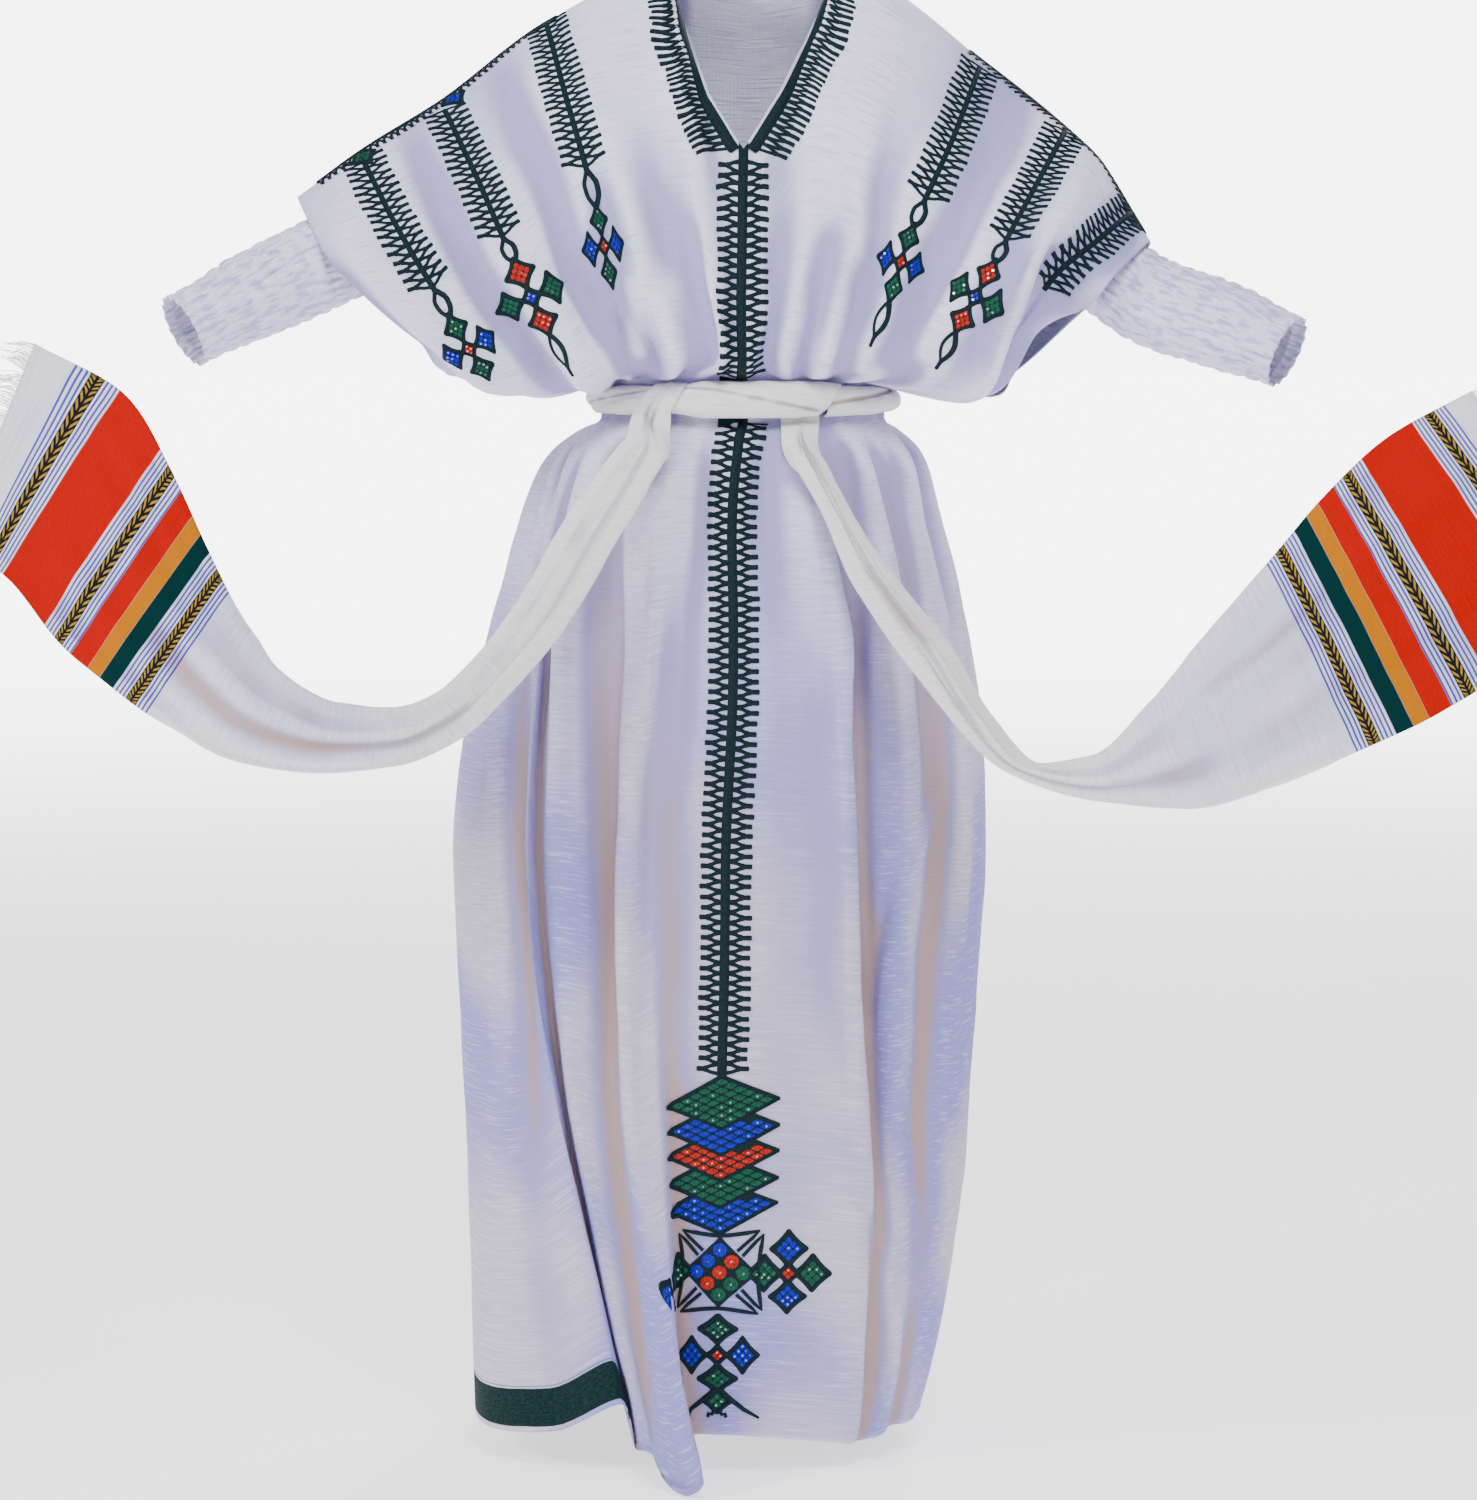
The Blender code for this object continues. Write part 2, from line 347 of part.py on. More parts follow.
def panel(side, across, down, fall, curl):
    """Rows of one whole panel from the shoulder to the turned hem, without its thickness."""
    front = side < 0
    lines, other = (FRONT_LINES, BACK_LINES) if front else (BACK_LINES, FRONT_LINES)
    folds = FRONT_FOLDS if front else BACK_FOLDS
    turns, outs, hems, under, hang = skirt_table(folds, across)
    upper = upper_points(lines, other, across, down, side)
    wave = np.cos(math.pi * GATHERS * across + (0.0 if front else 1.1))
    wave = (0.65 * wave + 0.35 * np.cos(math.pi * 0.57 * GATHERS * across + 2.0)) * (
        1 - smooth(0.93, 1.0, np.abs(across)))
    # the upper half
    push = np.zeros(upper.shape[:2])
    for _, where, (u0, v0), (u1, v1), width, high in UPPER_FOLDS:
        if where != ("front" if front else "back"):
            continue
        t = np.clip((down - v0) / (v1 - v0), 0.0, 1.0)
        middle = u0 + (u1 - u0) * t
        gap = (across[None, :] - middle[:, None]) * 0.50
        ends = smooth(v0 - 0.12, v0 + 0.18, down) * (1 - smooth(v1 - 0.10, v1 + 0.02, down))
        push += high * ends[:, None] * np.exp(-((gap / width) ** 2))
    near_belt = smooth(0.62, 0.93, down) * (1 - smooth(0.97, 1.0, down))
    push += near_belt[:, None] * GATHER_ABOVE * wave[None, :]
    push += -smooth(0.95, 1.0, down)[:, None] * GATHER_AT_BELT * (1 - wave)[None, :] / 2
    push *= (1 - smooth(0.96, 1.0, np.abs(across)))[None, :]
    along_u = np.gradient(upper, across, axis=1)
    along_v = np.gradient(upper, down, axis=0)
    normal = np.cross(along_v, along_u) * (1.0 if front else -1.0)
    normal /= np.maximum(np.linalg.norm(normal, axis=-1, keepdims=True), 1e-9)
    upper = upper + normal * push[..., None]
    # the skirt
    rows = []
    start = WAIST_Z - groove(turns[:, 0], side)
    for share in fall:
        turn = through(LEVELS, turns.T, share)[0]
        out = through(LEVELS, outs.T, share)[0]
        height = start + (hems - start) * share
        amount = GATHER_BELOW * smooth(0.0, 0.05, share) * (1 - smooth(0.07, 0.24, share))
        out = out + amount * wave - GATHER_AT_BELT * (1 - smooth(0.0, 0.05, share)) * (1 - wave) / 2
        rows.append(ring(turn, height, side) + ring_out(turn, height, side) * out[:, None])
    skirt = np.stack(rows)
    # the hem: rolled under where it is turned, straight down where it hangs
    last, before = skirt[-1], skirt[-2]
    out = ring_out(turns[:, -1], hems, side)
    slope = (last - before) / np.linalg.norm(last - before, axis=1, keepdims=True)
    tail = []
    for t in curl:
        angle = math.radians(min(t / 0.72, 1.0) * 150.0)
        past = max(t - 0.72, 0.0) * HEM_BAND
        inward = out * (TURN_RADIUS * (1 - math.cos(angle)) + past * 0.5)
        rise = past * 0.8 - TURN_RADIUS * math.sin(angle)
        rolled = last - inward + np.array([[0, 0, 1.0]]) * rise
        hanging = last + slope * hang[:, None] * t
        tail.append(rolled * under[:, None] + hanging * (1 - under[:, None]))
    whole = np.concatenate([upper, skirt, np.stack(tail)])
    return whole


def unit(vectors):
    return vectors / np.maximum(np.linalg.norm(vectors, axis=-1, keepdims=True), 1e-9)


def normals(grid, side):
    """Outward directions over a panel, the mean of the faces round each point, and how flat it is there."""
    faces = unit(np.cross(grid[1:, 1:] - grid[:-1, :-1], grid[1:, :-1] - grid[:-1, 1:])) * side
    wide = np.pad(faces, ((1, 1), (1, 1), (0, 0)), mode="edge")
    total = wide[1:, 1:] + wide[1:, :-1] + wide[:-1, 1:] + wide[:-1, :-1]
    return unit(total), np.linalg.norm(total, axis=-1, keepdims=True) / 4


def panel_wall(side, across, down, fall, curl):
    """Outer and inner points of a panel. Along a seam both panels share one direction, and half its gap each."""
    grid = panel(side, across, down, fall, curl)
    partner = panel(-side, across, down, fall, curl)
    (out, flat), (other, _) = normals(grid, side), normals(partner, -side)
    sewn_top = smooth(0.130, 0.168, np.abs(across))
    out[0] = out[0] + other[0] * sewn_top[:, None]
    sewn_side = np.concatenate([smooth(0.70, 0.86, down), np.ones(len(fall) + len(curl))])
    for column in (0, -1):
        out[:, column] += other[:, column] * sewn_side[:, None]
    out = unit(out)
    for column, step in ((0, 1), (-1, -1)):
        way = grid[:, column + step] - grid[:, column]
        way -= out[:, column] * (way * out[:, column]).sum(-1, keepdims=True)
        grid[:, column] += unit(way) * SEAM / 2
    way = grid[1] - grid[0]
    way -= out[0] * (way * out[0]).sum(-1, keepdims=True)
    grid[0] += unit(way) * SEAM / 2
    return grid, grid - out * WALL / np.maximum(flat, 0.62)


# ---- building meshes ----
def add_object(name, vertices, faces, where, material):
    mesh = bpy.data.meshes.new(name)
    mesh.from_pydata([tuple(v) for v in vertices], [], faces)
    mesh.validate()
    made = bpy.data.objects.new(name, mesh)
    where.objects.link(made)
    made.data.materials.append(material)
    for face in mesh.polygons:
        face.use_smooth = True
    return made


def wall(name, outer, inner, where, material, closed=False):
    """Closed body between an outer and an inner grid; closed joins the last column to the first."""
    rows, columns = outer.shape[:2]
    shift, faces = rows * columns, []
    spans = columns if closed else columns - 1
    flat = outer.reshape(-1, 3)
    for r in range(rows - 1):
        for c in range(spans):
            d = (c + 1) % columns
            a, b, e, f = r * columns + c, r * columns + d, (r + 1) * columns + d, (r + 1) * columns + c
            # both faces are split along the same, shorter diagonal, so the wall keeps its thickness
            if np.linalg.norm(flat[a] - flat[e]) <= np.linalg.norm(flat[b] - flat[f]):
                halves = ((a, f, e), (a, e, b))
            else:
                halves = ((a, f, b), (f, e, b))
            faces += [*halves, *(tuple(shift + k for k in half[::-1]) for half in halves)]
    for c in range(spans):
        d, last = (c + 1) % columns, (rows - 1) * columns
        faces += [(c, d, shift + d, shift + c), (last + c, shift + last + c, shift + last + d, last + d)]
    for r in range(rows - 1 if not closed else 0):
        a, f = r * columns, (r + 1) * columns
        b, e = a + columns - 1, f + columns - 1
        faces += [(a, shift + a, shift + f, f), (b, e, shift + e, shift + b)]
    points = np.concatenate([outer.reshape(-1, 3), inner.reshape(-1, 3)])
    made = add_object(name, points, faces, where, material)
    face_out(made)
    return made


def sheet(name, grid, thickness, outward, where, material):
    """Open lofted sheet given its thickness by a Solidify modifier, away from the lofted face."""
    rows, columns = grid.shape[:2]
    faces = []
    for r in range(rows - 1):
        for c in range(columns - 1):
            a, b = r * columns + c, r * columns + c + 1
            d, e = a + columns, b + columns
            faces.append((a, d, e, b) if outward else (a, b, e, d))
    made = add_object(name, grid.reshape(-1, 3), faces, where, material)
    solid = made.modifiers.new("thickness", "SOLIDIFY")
    solid.thickness = thickness
    solid.offset = -1.0
    solid.use_even_offset = False
    return made


def columns_across():
    """Places across both panels: one on every fold line of the front, and some between."""
    stops = sorted({row[1] for row in FRONT_FOLDS} | {0.17})
    places = []
    for low, high in zip(stops, stops[1:]):
        count = max(2 if high - low < 0.04 and low < 0 else 1, round((high - low) / 0.05))
        places += [low + (high - low) * k / count for k in range(count)]
    return np.array(places + [1.0])


def front_panel(where, material):
    down = np.array((0.0, 0.06, 0.13, 0.21, 0.30, 0.40, 0.50, 0.60, 0.70, 0.79, 0.87, 0.94, 1.0))
    fall = (0.0, 0.02, 0.045, 0.08, 0.12, 0.17, 0.23, 0.31, 0.40, 0.50, 0.60, 0.69, 0.77, 0.85, 0.93, 1.0)
    outer, inner = panel_wall(-1, columns_across(), down, fall, (0.24, 0.48, 0.72, 1.0))
    return wall("dress_front", outer, inner, where, material)


def back_panel(where, material):
    down = np.array((0.0, 0.06, 0.13, 0.22, 0.32, 0.43, 0.54, 0.65, 0.75, 0.85, 0.93, 1.0))
    fall = np.array((0.0, 0.02, 0.05, 0.09, 0.15, 0.23, 0.33, 0.45, 0.58, 0.71, 0.85, 1.0))
    outer, inner = panel_wall(1, columns_across(), down, fall, (0.33, 0.72, 1.0))
    return wall("dress_back", outer, inner, where, material)


def arm_frame(rows, count):
    """Points, radii and two cross directions along an arm."""
    table = np.array(rows)
    length = np.concatenate([[0], np.cumsum(np.linalg.norm(np.diff(table[:, :3], axis=0), axis=1))])
    at = np.linspace(0, length[-1], count)
    read = through(length, table, at)
    middle, radius = read[:, :3], read[:, 3]
    way = np.gradient(middle, at, axis=0)
    way /= np.linalg.norm(way, axis=1, keepdims=True)
    up = np.array([0, 0, 1.0]) - way * way[:, 2:3]
    up /= np.linalg.norm(up, axis=1, keepdims=True)
    return middle, radius, up, np.cross(way, up), at


def shirred_sleeve(name, rows, where, material):
    """Open tube with a plain inside and rows of puffs raised in its outside."""
    around, count = 16, 2 * PUFF_ROWS + 1
    middle, radius, up, cross, at = arm_frame(rows, count)
    inside, outside = [], []
    for r in range(count):
        for c in range(around):
            angle = 2 * math.pi * c / around
            way = up[r] * math.cos(angle) + cross[r] * math.sin(angle)
            inside.append(middle[r] + way * radius[r])
            puff = PUFF * (r % 2) * (0.7 + 0.3 * math.cos(5 * angle + 1.7 * r))
            outside.append(middle[r] + way * (radius[r] + SHIRRED_WALL + puff))
    shape = (count, around, 3)
    outer, inner = np.array(outside).reshape(shape), np.array(inside).reshape(shape)
    return wall(name, outer, inner, where, material, closed=True)


def face_out(made):
    work = bmesh.new()
    work.from_mesh(made.data)
    bmesh.ops.recalc_face_normals(work, faces=work.faces)
    work.to_mesh(made.data)
    work.free()


# ---- the sash ----
def belt_point(turn, side, bow, lift):
    """Point of the rolled belt: bow runs from -90 under it to 90 on top, lift is how far outside it lies."""
    turn, bow = np.asarray(turn, float), np.asarray(bow, float)
    half = groove(turn, side) - 0.0075 + np.minimum(lift, 0.0065)
    angle = np.radians(bow)
    flat = np.full(np.shape(turn), WAIST_Z)
    out = 0.0034 + (0.0095 + lift) * np.cos(angle)
    height = np.stack([np.zeros_like(out), np.zeros_like(out), half * np.sin(angle)], -1)
    return ring(turn, flat, side) + ring_out(turn, flat, side) * out[..., None] + height


def belt_waist(where, material):
    """The stretch round the waist, from beside the knot round the back to the other side of it."""
    stops = [(-1, t) for t in (63, 56, 48, 40, 32, 24, 16, 10, 5)]
    behind = (0, 5, 11, 19, 28, 38, 49, 61, 74, 87, 100, 113, 125, 136, 146, 155, 163, 170, 175, 180)
    stops += [(1, t) for t in behind]
    stops += [(-1, t) for t in (175, 170, 164, 156, 147, 138, 129, 120)]
    rows = []
    for k, (side, turn) in enumerate(stops):
        bows = np.array((-100.0, -62.0, -22.0, 22.0, 62.0, 100.0))
        ripple = 0.0009 * np.cos(np.radians(bows * 3.0) + 0.7 * k)
        rows.append([belt_point(turn, side, b, p) for b, p in zip(bows, ripple)])
    return sheet("belt_waist", np.array(rows), SASH_WALL, False, where, material)


def belt_cross(where, material):
    """The short twisted stretch of the knot that lies over the front."""
    turns = np.linspace(64.5, 126.0, 13)
    rows = []
    for k, turn in enumerate(turns):
        t = k / (len(turns) - 1)
        low = -56.0 + 112.0 * float(smooth(0.82, 1.0, t))
        bows = np.linspace(low, 98.0, 7)
        swell = 0.0008 + 0.0054 * float(smooth(0.0, 0.35, t)) - 0.0018 * float(smooth(0.6, 1.0, t))
        swell = swell + 0.0006 * np.cos(np.radians(bows * 2.2) + 5.0 * t)
        rows.append([belt_point(turn, -1, b, p) for b, p in zip(bows, swell)])
    return sheet("belt_cross", np.array(rows), SASH_WALL, True, where, material)


def right_start():
    """Over the belt from its top, outside the knot."""
    found = []
    for upper, lower, bow, lift in RIGHT_START:
        found.append([*belt_point(upper, -1, bow, lift), *belt_point(lower, -1, bow, lift), 0.004, 0.001, 6])
    return found


def left_start():
    """From behind the lower edge of the knot."""
    found = []
    for upper, lower, drop, out in LEFT_START:
        edges = []
        for turn in (upper, lower):
            level = np.array(WAIST_Z)
            point = ring(np.array(turn), level, -1) + ring_out(np.array(turn), level, -1) * out
            edges.append(point + np.array([0, 0, drop]))
        found.append([*edges[0], *edges[1], 0.003, 0.0005, 6])
    return found


def tail_section(width, turned, bulge, curl):
    """Outer and inner outline of a tail across its width, as (inward from the upper edge, outward) pairs."""
    angle = math.radians(max(curl, 2.0))
    roll = min(TAIL_ROLL * math.pi / angle, 0.3 * width / math.sin(min(angle, math.pi / 2)))
    turned = max(min(turned, 0.5 * width - TAIL_ROLL - 0.002), 0.002)
    flat = roll if angle > math.pi / 2 else roll * math.sin(angle) + turned * math.cos(angle)
    outlines = []
    for radius in (roll, roll - SASH_WALL):
        half = []
        for k in (3, 2, 1, 0):
            bend = angle * k / 3
            half.append((flat - radius * math.sin(bend), radius * math.cos(bend) - roll))
        half.insert(0, (half[0][0] - turned * math.cos(angle), half[0][1] - turned * math.sin(angle)))
        sink = -SASH_WALL if radius < roll else 0.0
        middle = [(flat + (width - 2 * flat) * s, bulge + sink) for s in (0.36, 0.64)]
        outlines.append(half + middle + [(width - x, z) for x, z in half[::-1]])
    return outlines


def tail_grids(rows, start, count):
    """Outer and inner points of a tail from the belt to its end, and the direction in which it ends."""
    table = np.array(start + [[*row[1], *row[2], *row[3:]] for row in rows], float)
    middle = (table[:, :3] + table[:, 3:6]) / 2
    length = np.concatenate([[0], np.cumsum(np.linalg.norm(np.diff(middle, axis=0), axis=1))])
    first = length[len(start)]
    at = np.concatenate([length[: len(start)], np.linspace(first, length[-1], count)])
    read = through(length, table, at)
    top, bottom = read[:, :3], read[:, 3:6]
    run = unit(np.gradient((top + bottom) / 2, at, axis=0))
    outer, inner = [], []
    for k in range(len(at)):
        width = np.linalg.norm(bottom[k] - top[k])
        span = (bottom[k] - top[k]) / width
        out = unit(np.cross(run[k], span))
        out = out * (1 if (out[1] < 0 or (k == 0 and out[2] > 0)) else -1)
        for grid, outline in zip((outer, inner), tail_section(width, *read[k, 6:9])):
            grid.append([top[k] + span * x + out * z for x, z in outline])
    return np.array(outer), np.array(inner), run[-1]


def fringe(name, grids, shift, where, material):
    """Warp ends left loose at the end of a tail, their roots fused in a narrow strip just clear of its edge."""
    outer, inner, way = grids
    length = np.concatenate([[0], np.cumsum(np.linalg.norm(np.diff(outer[-1], axis=0), axis=1))])
    places = np.linspace(0.0005, length[-1] - 0.0005, 2 * STRANDS + 2)
    edges = []
    for edge in (outer[-1], inner[-1]):
        line = np.stack([np.interp(places, length, edge[:, k]) for k in range(3)], -1)
        edges.append(np.stack([line + way * SEAM, line + way * (SEAM + FRINGE_EDGE)]))
    made = wall(name, *edges, where, material)
    work = bmesh.new()
    work.from_mesh(made.data)
    ends = [face for face in work.faces if np.dot(face.normal, way) > 0.7]
    across = unit(edges[0][0, -1] - edges[0][0, 0])
    roots = sorted(ends, key=lambda face: float(np.dot(face.calc_center_median(), across)))[1::2]
    for step, narrow in ((1, 0.80), (2, 0.45)):
        roots = bmesh.ops.extrude_discrete_faces(work, faces=roots)["faces"]
        roots.sort(key=lambda face: float(np.dot(face.calc_center_median(), across)))
        for k, face in enumerate(roots):
            middle = np.array(face.calc_center_median())
            long = FRINGE_LONG * (0.42 + 0.08 * math.sin(2.1 * k + shift))
            move = way * long + across * 0.0011 * math.sin(1.7 * k + shift + step)
            move = move + np.array([0.0, 0.0012 * math.sin(2.9 * k + step), -0.0030 * step])
            for vertex in face.verts:
                vertex.co = middle + (np.array(vertex.co) - middle) * narrow + move
    work.to_mesh(made.data)
    work.free()
    return made


# ---- colours ----
def material(name, colour, roughness):
    made = bpy.data.materials.new(name)
    made.use_nodes = True
    shader = made.node_tree.nodes["Principled BSDF"]
    shader.inputs["Base Color"].default_value = (*colour, 1.0)
    shader.inputs["Roughness"].default_value = roughness
    made.diffuse_color = (*colour, 1.0)
    return made


def build():
    for old in list(bpy.data.objects):
        bpy.data.objects.remove(old, do_unlink=True)
    dress = bpy.data.collections.new("Habesha kemis")
    bpy.context.scene.collection.children.link(dress)
    front_panel(dress, material("front cotton", (0.86, 0.84, 0.86), 0.9))
    back_panel(dress, material("back cotton", (0.84, 0.82, 0.84), 0.9))
    for name, rows in SLEEVES:
        shirred_sleeve(name, rows, dress, material(name.replace("_", " "), (0.90, 0.90, 0.93), 0.85))
    belt_waist(dress, material("belt cotton", (0.88, 0.84, 0.78), 0.9))
    belt_cross(dress, material("belt knot cotton", (0.88, 0.84, 0.78), 0.9))
    tails = (("right", RIGHT_TAIL, right_start(), 20), ("left", LEFT_TAIL, left_start(), 21))
    for side, rows, start, count in tails:
        grids = tail_grids(rows, start, count)
        cotton = material(side + " tail cotton", (0.86, 0.83, 0.80), 0.9)
        wall("belt_tail_" + side, *grids[:2], dress, cotton)
        threads = material(side + " fringe cotton", (0.93, 0.92, 0.92), 0.9)
        fringe("fringe_" + side, grids, len(side), dress, threads)


build()
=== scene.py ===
# %% [markdown]
# # A habesha kemis
#
# The habesha kemis is a long Ethiopian dress of double hand-woven cotton. Two wide panels, one in front and one
# behind, are sewn at the shoulders and sides, two elastic shirred sleeves come out of the wide ones, and a long
# sash with woven borders is knotted at the waist. This lesson dresses a plain solid model of it: the solids
# give the garment's shape, and each cell below puts one real thing on them.

# %% load the solid model
import math

import bpy
import mathutils
import numpy as np
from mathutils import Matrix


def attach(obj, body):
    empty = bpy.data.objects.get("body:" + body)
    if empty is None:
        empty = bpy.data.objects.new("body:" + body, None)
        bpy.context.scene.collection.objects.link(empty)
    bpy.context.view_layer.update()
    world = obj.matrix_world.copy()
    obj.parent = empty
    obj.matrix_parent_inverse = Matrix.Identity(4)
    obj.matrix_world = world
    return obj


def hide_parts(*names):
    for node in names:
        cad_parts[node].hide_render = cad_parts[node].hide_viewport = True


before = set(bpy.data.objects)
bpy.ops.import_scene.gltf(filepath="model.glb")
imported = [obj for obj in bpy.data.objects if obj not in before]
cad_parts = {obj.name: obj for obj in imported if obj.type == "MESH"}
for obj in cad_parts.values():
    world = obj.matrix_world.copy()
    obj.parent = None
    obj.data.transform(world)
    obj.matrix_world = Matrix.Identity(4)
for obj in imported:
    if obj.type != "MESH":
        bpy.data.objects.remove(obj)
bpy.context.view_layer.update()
print("solids:", ", ".join(sorted(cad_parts)))

# %% [markdown]
# ## Camera
#
# The dress is seen from the front and a little above its middle, from far enough away that its sleeves aren't
# stretched.

# %% camera
scene = bpy.context.scene
EYE, AIM_Z, LENS = (-0.00637, -3.5, -0.33), -0.72716, 86.26

lens = bpy.data.cameras.new("camera")
lens.lens, lens.sensor_width = LENS, 36.0
camera = bpy.data.objects.new("camera", lens)
camera.location = EYE
camera.rotation_euler = (math.radians(90) - math.atan2(EYE[2] - AIM_Z, -EYE[1]), 0.0, 0.0)
scene.collection.objects.link(camera)
scene.camera = camera
print("camera", tuple(round(v, 3) for v in camera.location))

# %% [markdown]
# ## Shader maths as plain Python
#
# A material is a small graph of nodes. Writing weave and stripe patterns node by node is hard to read, so one
# class wraps a socket and turns Python's own operators into Math nodes. Whatever isn't plain arithmetic comes
# from `Nodes.add`, which takes a node's type, its settings and what goes into its sockets.

# %% a socket that does maths
class Value:
    """One output socket of a material. Sums and products of values add the Math nodes they need."""

    def __init__(self, nodes, socket):
        self.nodes, self.socket = nodes, socket

    def math(self, operation, *values):
        return self.nodes.add("ShaderNodeMath", {"operation": operation}, values)

    def __add__(self, other):
        return self.math("ADD", self, other)

    def __sub__(self, other):
        return self.math("SUBTRACT", self, other)

    def __rsub__(self, other):
        return self.math("SUBTRACT", other, self)

    def __mul__(self, other):
        return self.math("MULTIPLY", self, other)

    def __truediv__(self, other):
        return self.math("DIVIDE", self, other)

    def __abs__(self):
        return self.math("ABSOLUTE", self)

    __radd__, __rmul__ = __add__, __mul__

    def least(self, other):
        return self.math("MINIMUM", self, other)

    def most(self, other):
        return self.math("MAXIMUM", self, other)

    def sine(self):
        return self.math("SINE", self)

    def folded(self, scale):
        """Back and forth between 0 and the scale."""
        return self.math("PINGPONG", self, scale)

    def step(self, low, high):
        """0 below low, 1 above high and smooth between; turned round where low is the higher."""
        found = self.nodes.add("ShaderNodeMapRange", {"interpolation_type": "SMOOTHSTEP"},
                               {"Value": self, "From Min": min(low, high), "From Max": max(low, high)})
        return 1.0 - found if low > high else found

    def band(self, middle, half, soft):
        """1 within half a width of the middle, with soft edges."""
        return abs(self - middle).step(half + soft / 2, half - soft / 2)


print("values ready")


# %% a tree of nodes
class Nodes:
    """A tree of nodes under construction."""

    def __init__(self, tree):
        self.tree = tree

    def add(self, kind, settings=None, inputs=(), out=0):
        made = self.tree.nodes.new(kind)
        for name, value in (settings or {}).items():
            setattr(made, name, value)
        pairs = inputs.items() if isinstance(inputs, dict) else enumerate(inputs)
        for key, value in pairs:
            if isinstance(value, Value):
                self.tree.links.new(value.socket, made.inputs[key])
            else:
                made.inputs[key].default_value = value
        return Value(self, made.outputs[out])

    def parts(self, vector):
        """The three numbers of a vector."""
        first = self.add("ShaderNodeSeparateXYZ", None, (vector,))
        return [Value(self, socket) for socket in first.socket.node.outputs]

    def mix(self, share, first, second):
        """Colour that goes from the first to the second as share goes from 0 to 1."""
        pair = [value if isinstance(value, Value) else (*value, 1.0) for value in (first, second)]
        return self.add("ShaderNodeMix", {"data_type": "RGBA", "clamp_factor": True},
                        {0: share, 6: pair[0], 7: pair[1]}, 2)


print("trees ready")


# %% a material
class Finish(Nodes):
    """A material under construction, on one Principled shader."""

    def __init__(self, name, **constants):
        self.material = bpy.data.materials.new(name)
        self.material.use_nodes = True
        super().__init__(self.material.node_tree)
        self.shader = self.tree.nodes["Principled BSDF"]
        for socket, value in constants.items():
            self.shader.inputs[socket.replace("_", " ")].default_value = value

    def flat(self):
        """Place on the flat cloth in metres: across the weave, and along it."""
        if not hasattr(self, "_flat"):
            self._flat = self.parts(self.add("ShaderNodeUVMap", {"uv_map": "cloth"}))[:2]
        return self._flat

    def stored(self, name):
        """A number kept on each point of the mesh."""
        return self.add("ShaderNodeAttribute", {"attribute_name": name}, (), "Fac")

    def noise(self, across, along, detail=2.0, roughness=0.5, shift=0.0):
        """Smooth chance values about 0.5, of so many lumps a metre across and along the cloth."""
        x, y = self.flat()
        at = self.add("ShaderNodeCombineXYZ", None, (x * across + shift, y * along + shift, 0.0))
        return self.add("ShaderNodeTexNoise", {"noise_dimensions": "2D"},
                        {"Vector": at, "Scale": 1.0, "Detail": detail, "Roughness": roughness})

    def bump(self, height, distance):
        """Raises the surface's look by height times distance, in metres."""
        found = self.add("ShaderNodeBump", None, {"Height": height, "Strength": 1.0, "Distance": distance})
        self.tree.links.new(found.socket, self.shader.inputs["Normal"])

    def feed(self, **sockets):
        for name, value in sockets.items():
            self.tree.links.new(value.socket, self.shader.inputs[name.replace("_", " ")])


print("materials ready")

# %% [markdown]
# ## Floor and light
#
# Soft lights keep the folds readable, as white cotton shows its form by faint shadows alone. They stand in a
# plain studio with a pale floor and a wall of light far behind the dress. The wall is a bright part of the sky.
# The floor glows by the same rule of direction, so far away the two are equally bright and meet with no line. A
# real wall would be a mesh, but its ends would show when the dress is seen from the side.

# %% floor and light
def soft_light(name, place, aim, size, watts, colour):
    """A square soft box at a place, turned to what it lights."""
    made = bpy.data.lights.new(name, "AREA")
    made.size, made.energy, made.color = size, watts, colour
    lamp = bpy.data.objects.new(name, made)
    lamp.location = place
    way = np.array(aim) - np.array(place)
    lamp.rotation_euler = (math.acos(-way[2] / np.linalg.norm(way)), 0.0, math.atan2(-way[0], way[1]))
    scene.collection.objects.link(lamp)


soft_light("key", (-3.0, -1.5, 1.1), (0.0, 0.0, -0.6), 0.8, 82.0, (1.0, 0.98, 0.98))
soft_light("fill", (2.3, -2.7, 0.3), (0.0, 0.0, -0.8), 2.2, 12.0, (0.78, 0.80, 1.0))
soft_light("top light", (0.2, -1.5, 1.3), (0.0, -0.1, -0.1), 0.8, 46.0, (0.98, 0.98, 1.0))
soft_light("rim", (1.2, 2.4, 1.6), (0.0, 0.0, -0.6), 1.6, 70.0, (0.95, 0.96, 1.0))

SKY, WALL, NEAR = 0.34, 6.5, 1.25  # brightness of the sky, the wall of light, and the floor by the dress
BESIDE, BEHIND = 0.55, 0.93  # the wall fades out between these shares of the way straight back
FLOOR_Z, FLOOR_HALF = -1.4205, 120.0

air = bpy.data.worlds.new("studio")
air.use_nodes = True
scene.world = air
around = Nodes(air.node_tree)
_, back_way, up = around.parts(around.add("ShaderNodeTexCoord"))
wall = back_way.step(BESIDE, BEHIND) * up.step(0.55, 0.12)
light = air.node_tree.nodes["Background"]
for name, value in (("Color", around.mix(wall, (0.88, 0.89, 1.0), (1.0, 1.0, 1.0))),
                    ("Strength", wall * (WALL - SKY) + SKY)):
    air.node_tree.links.new(value.socket, light.inputs[name])

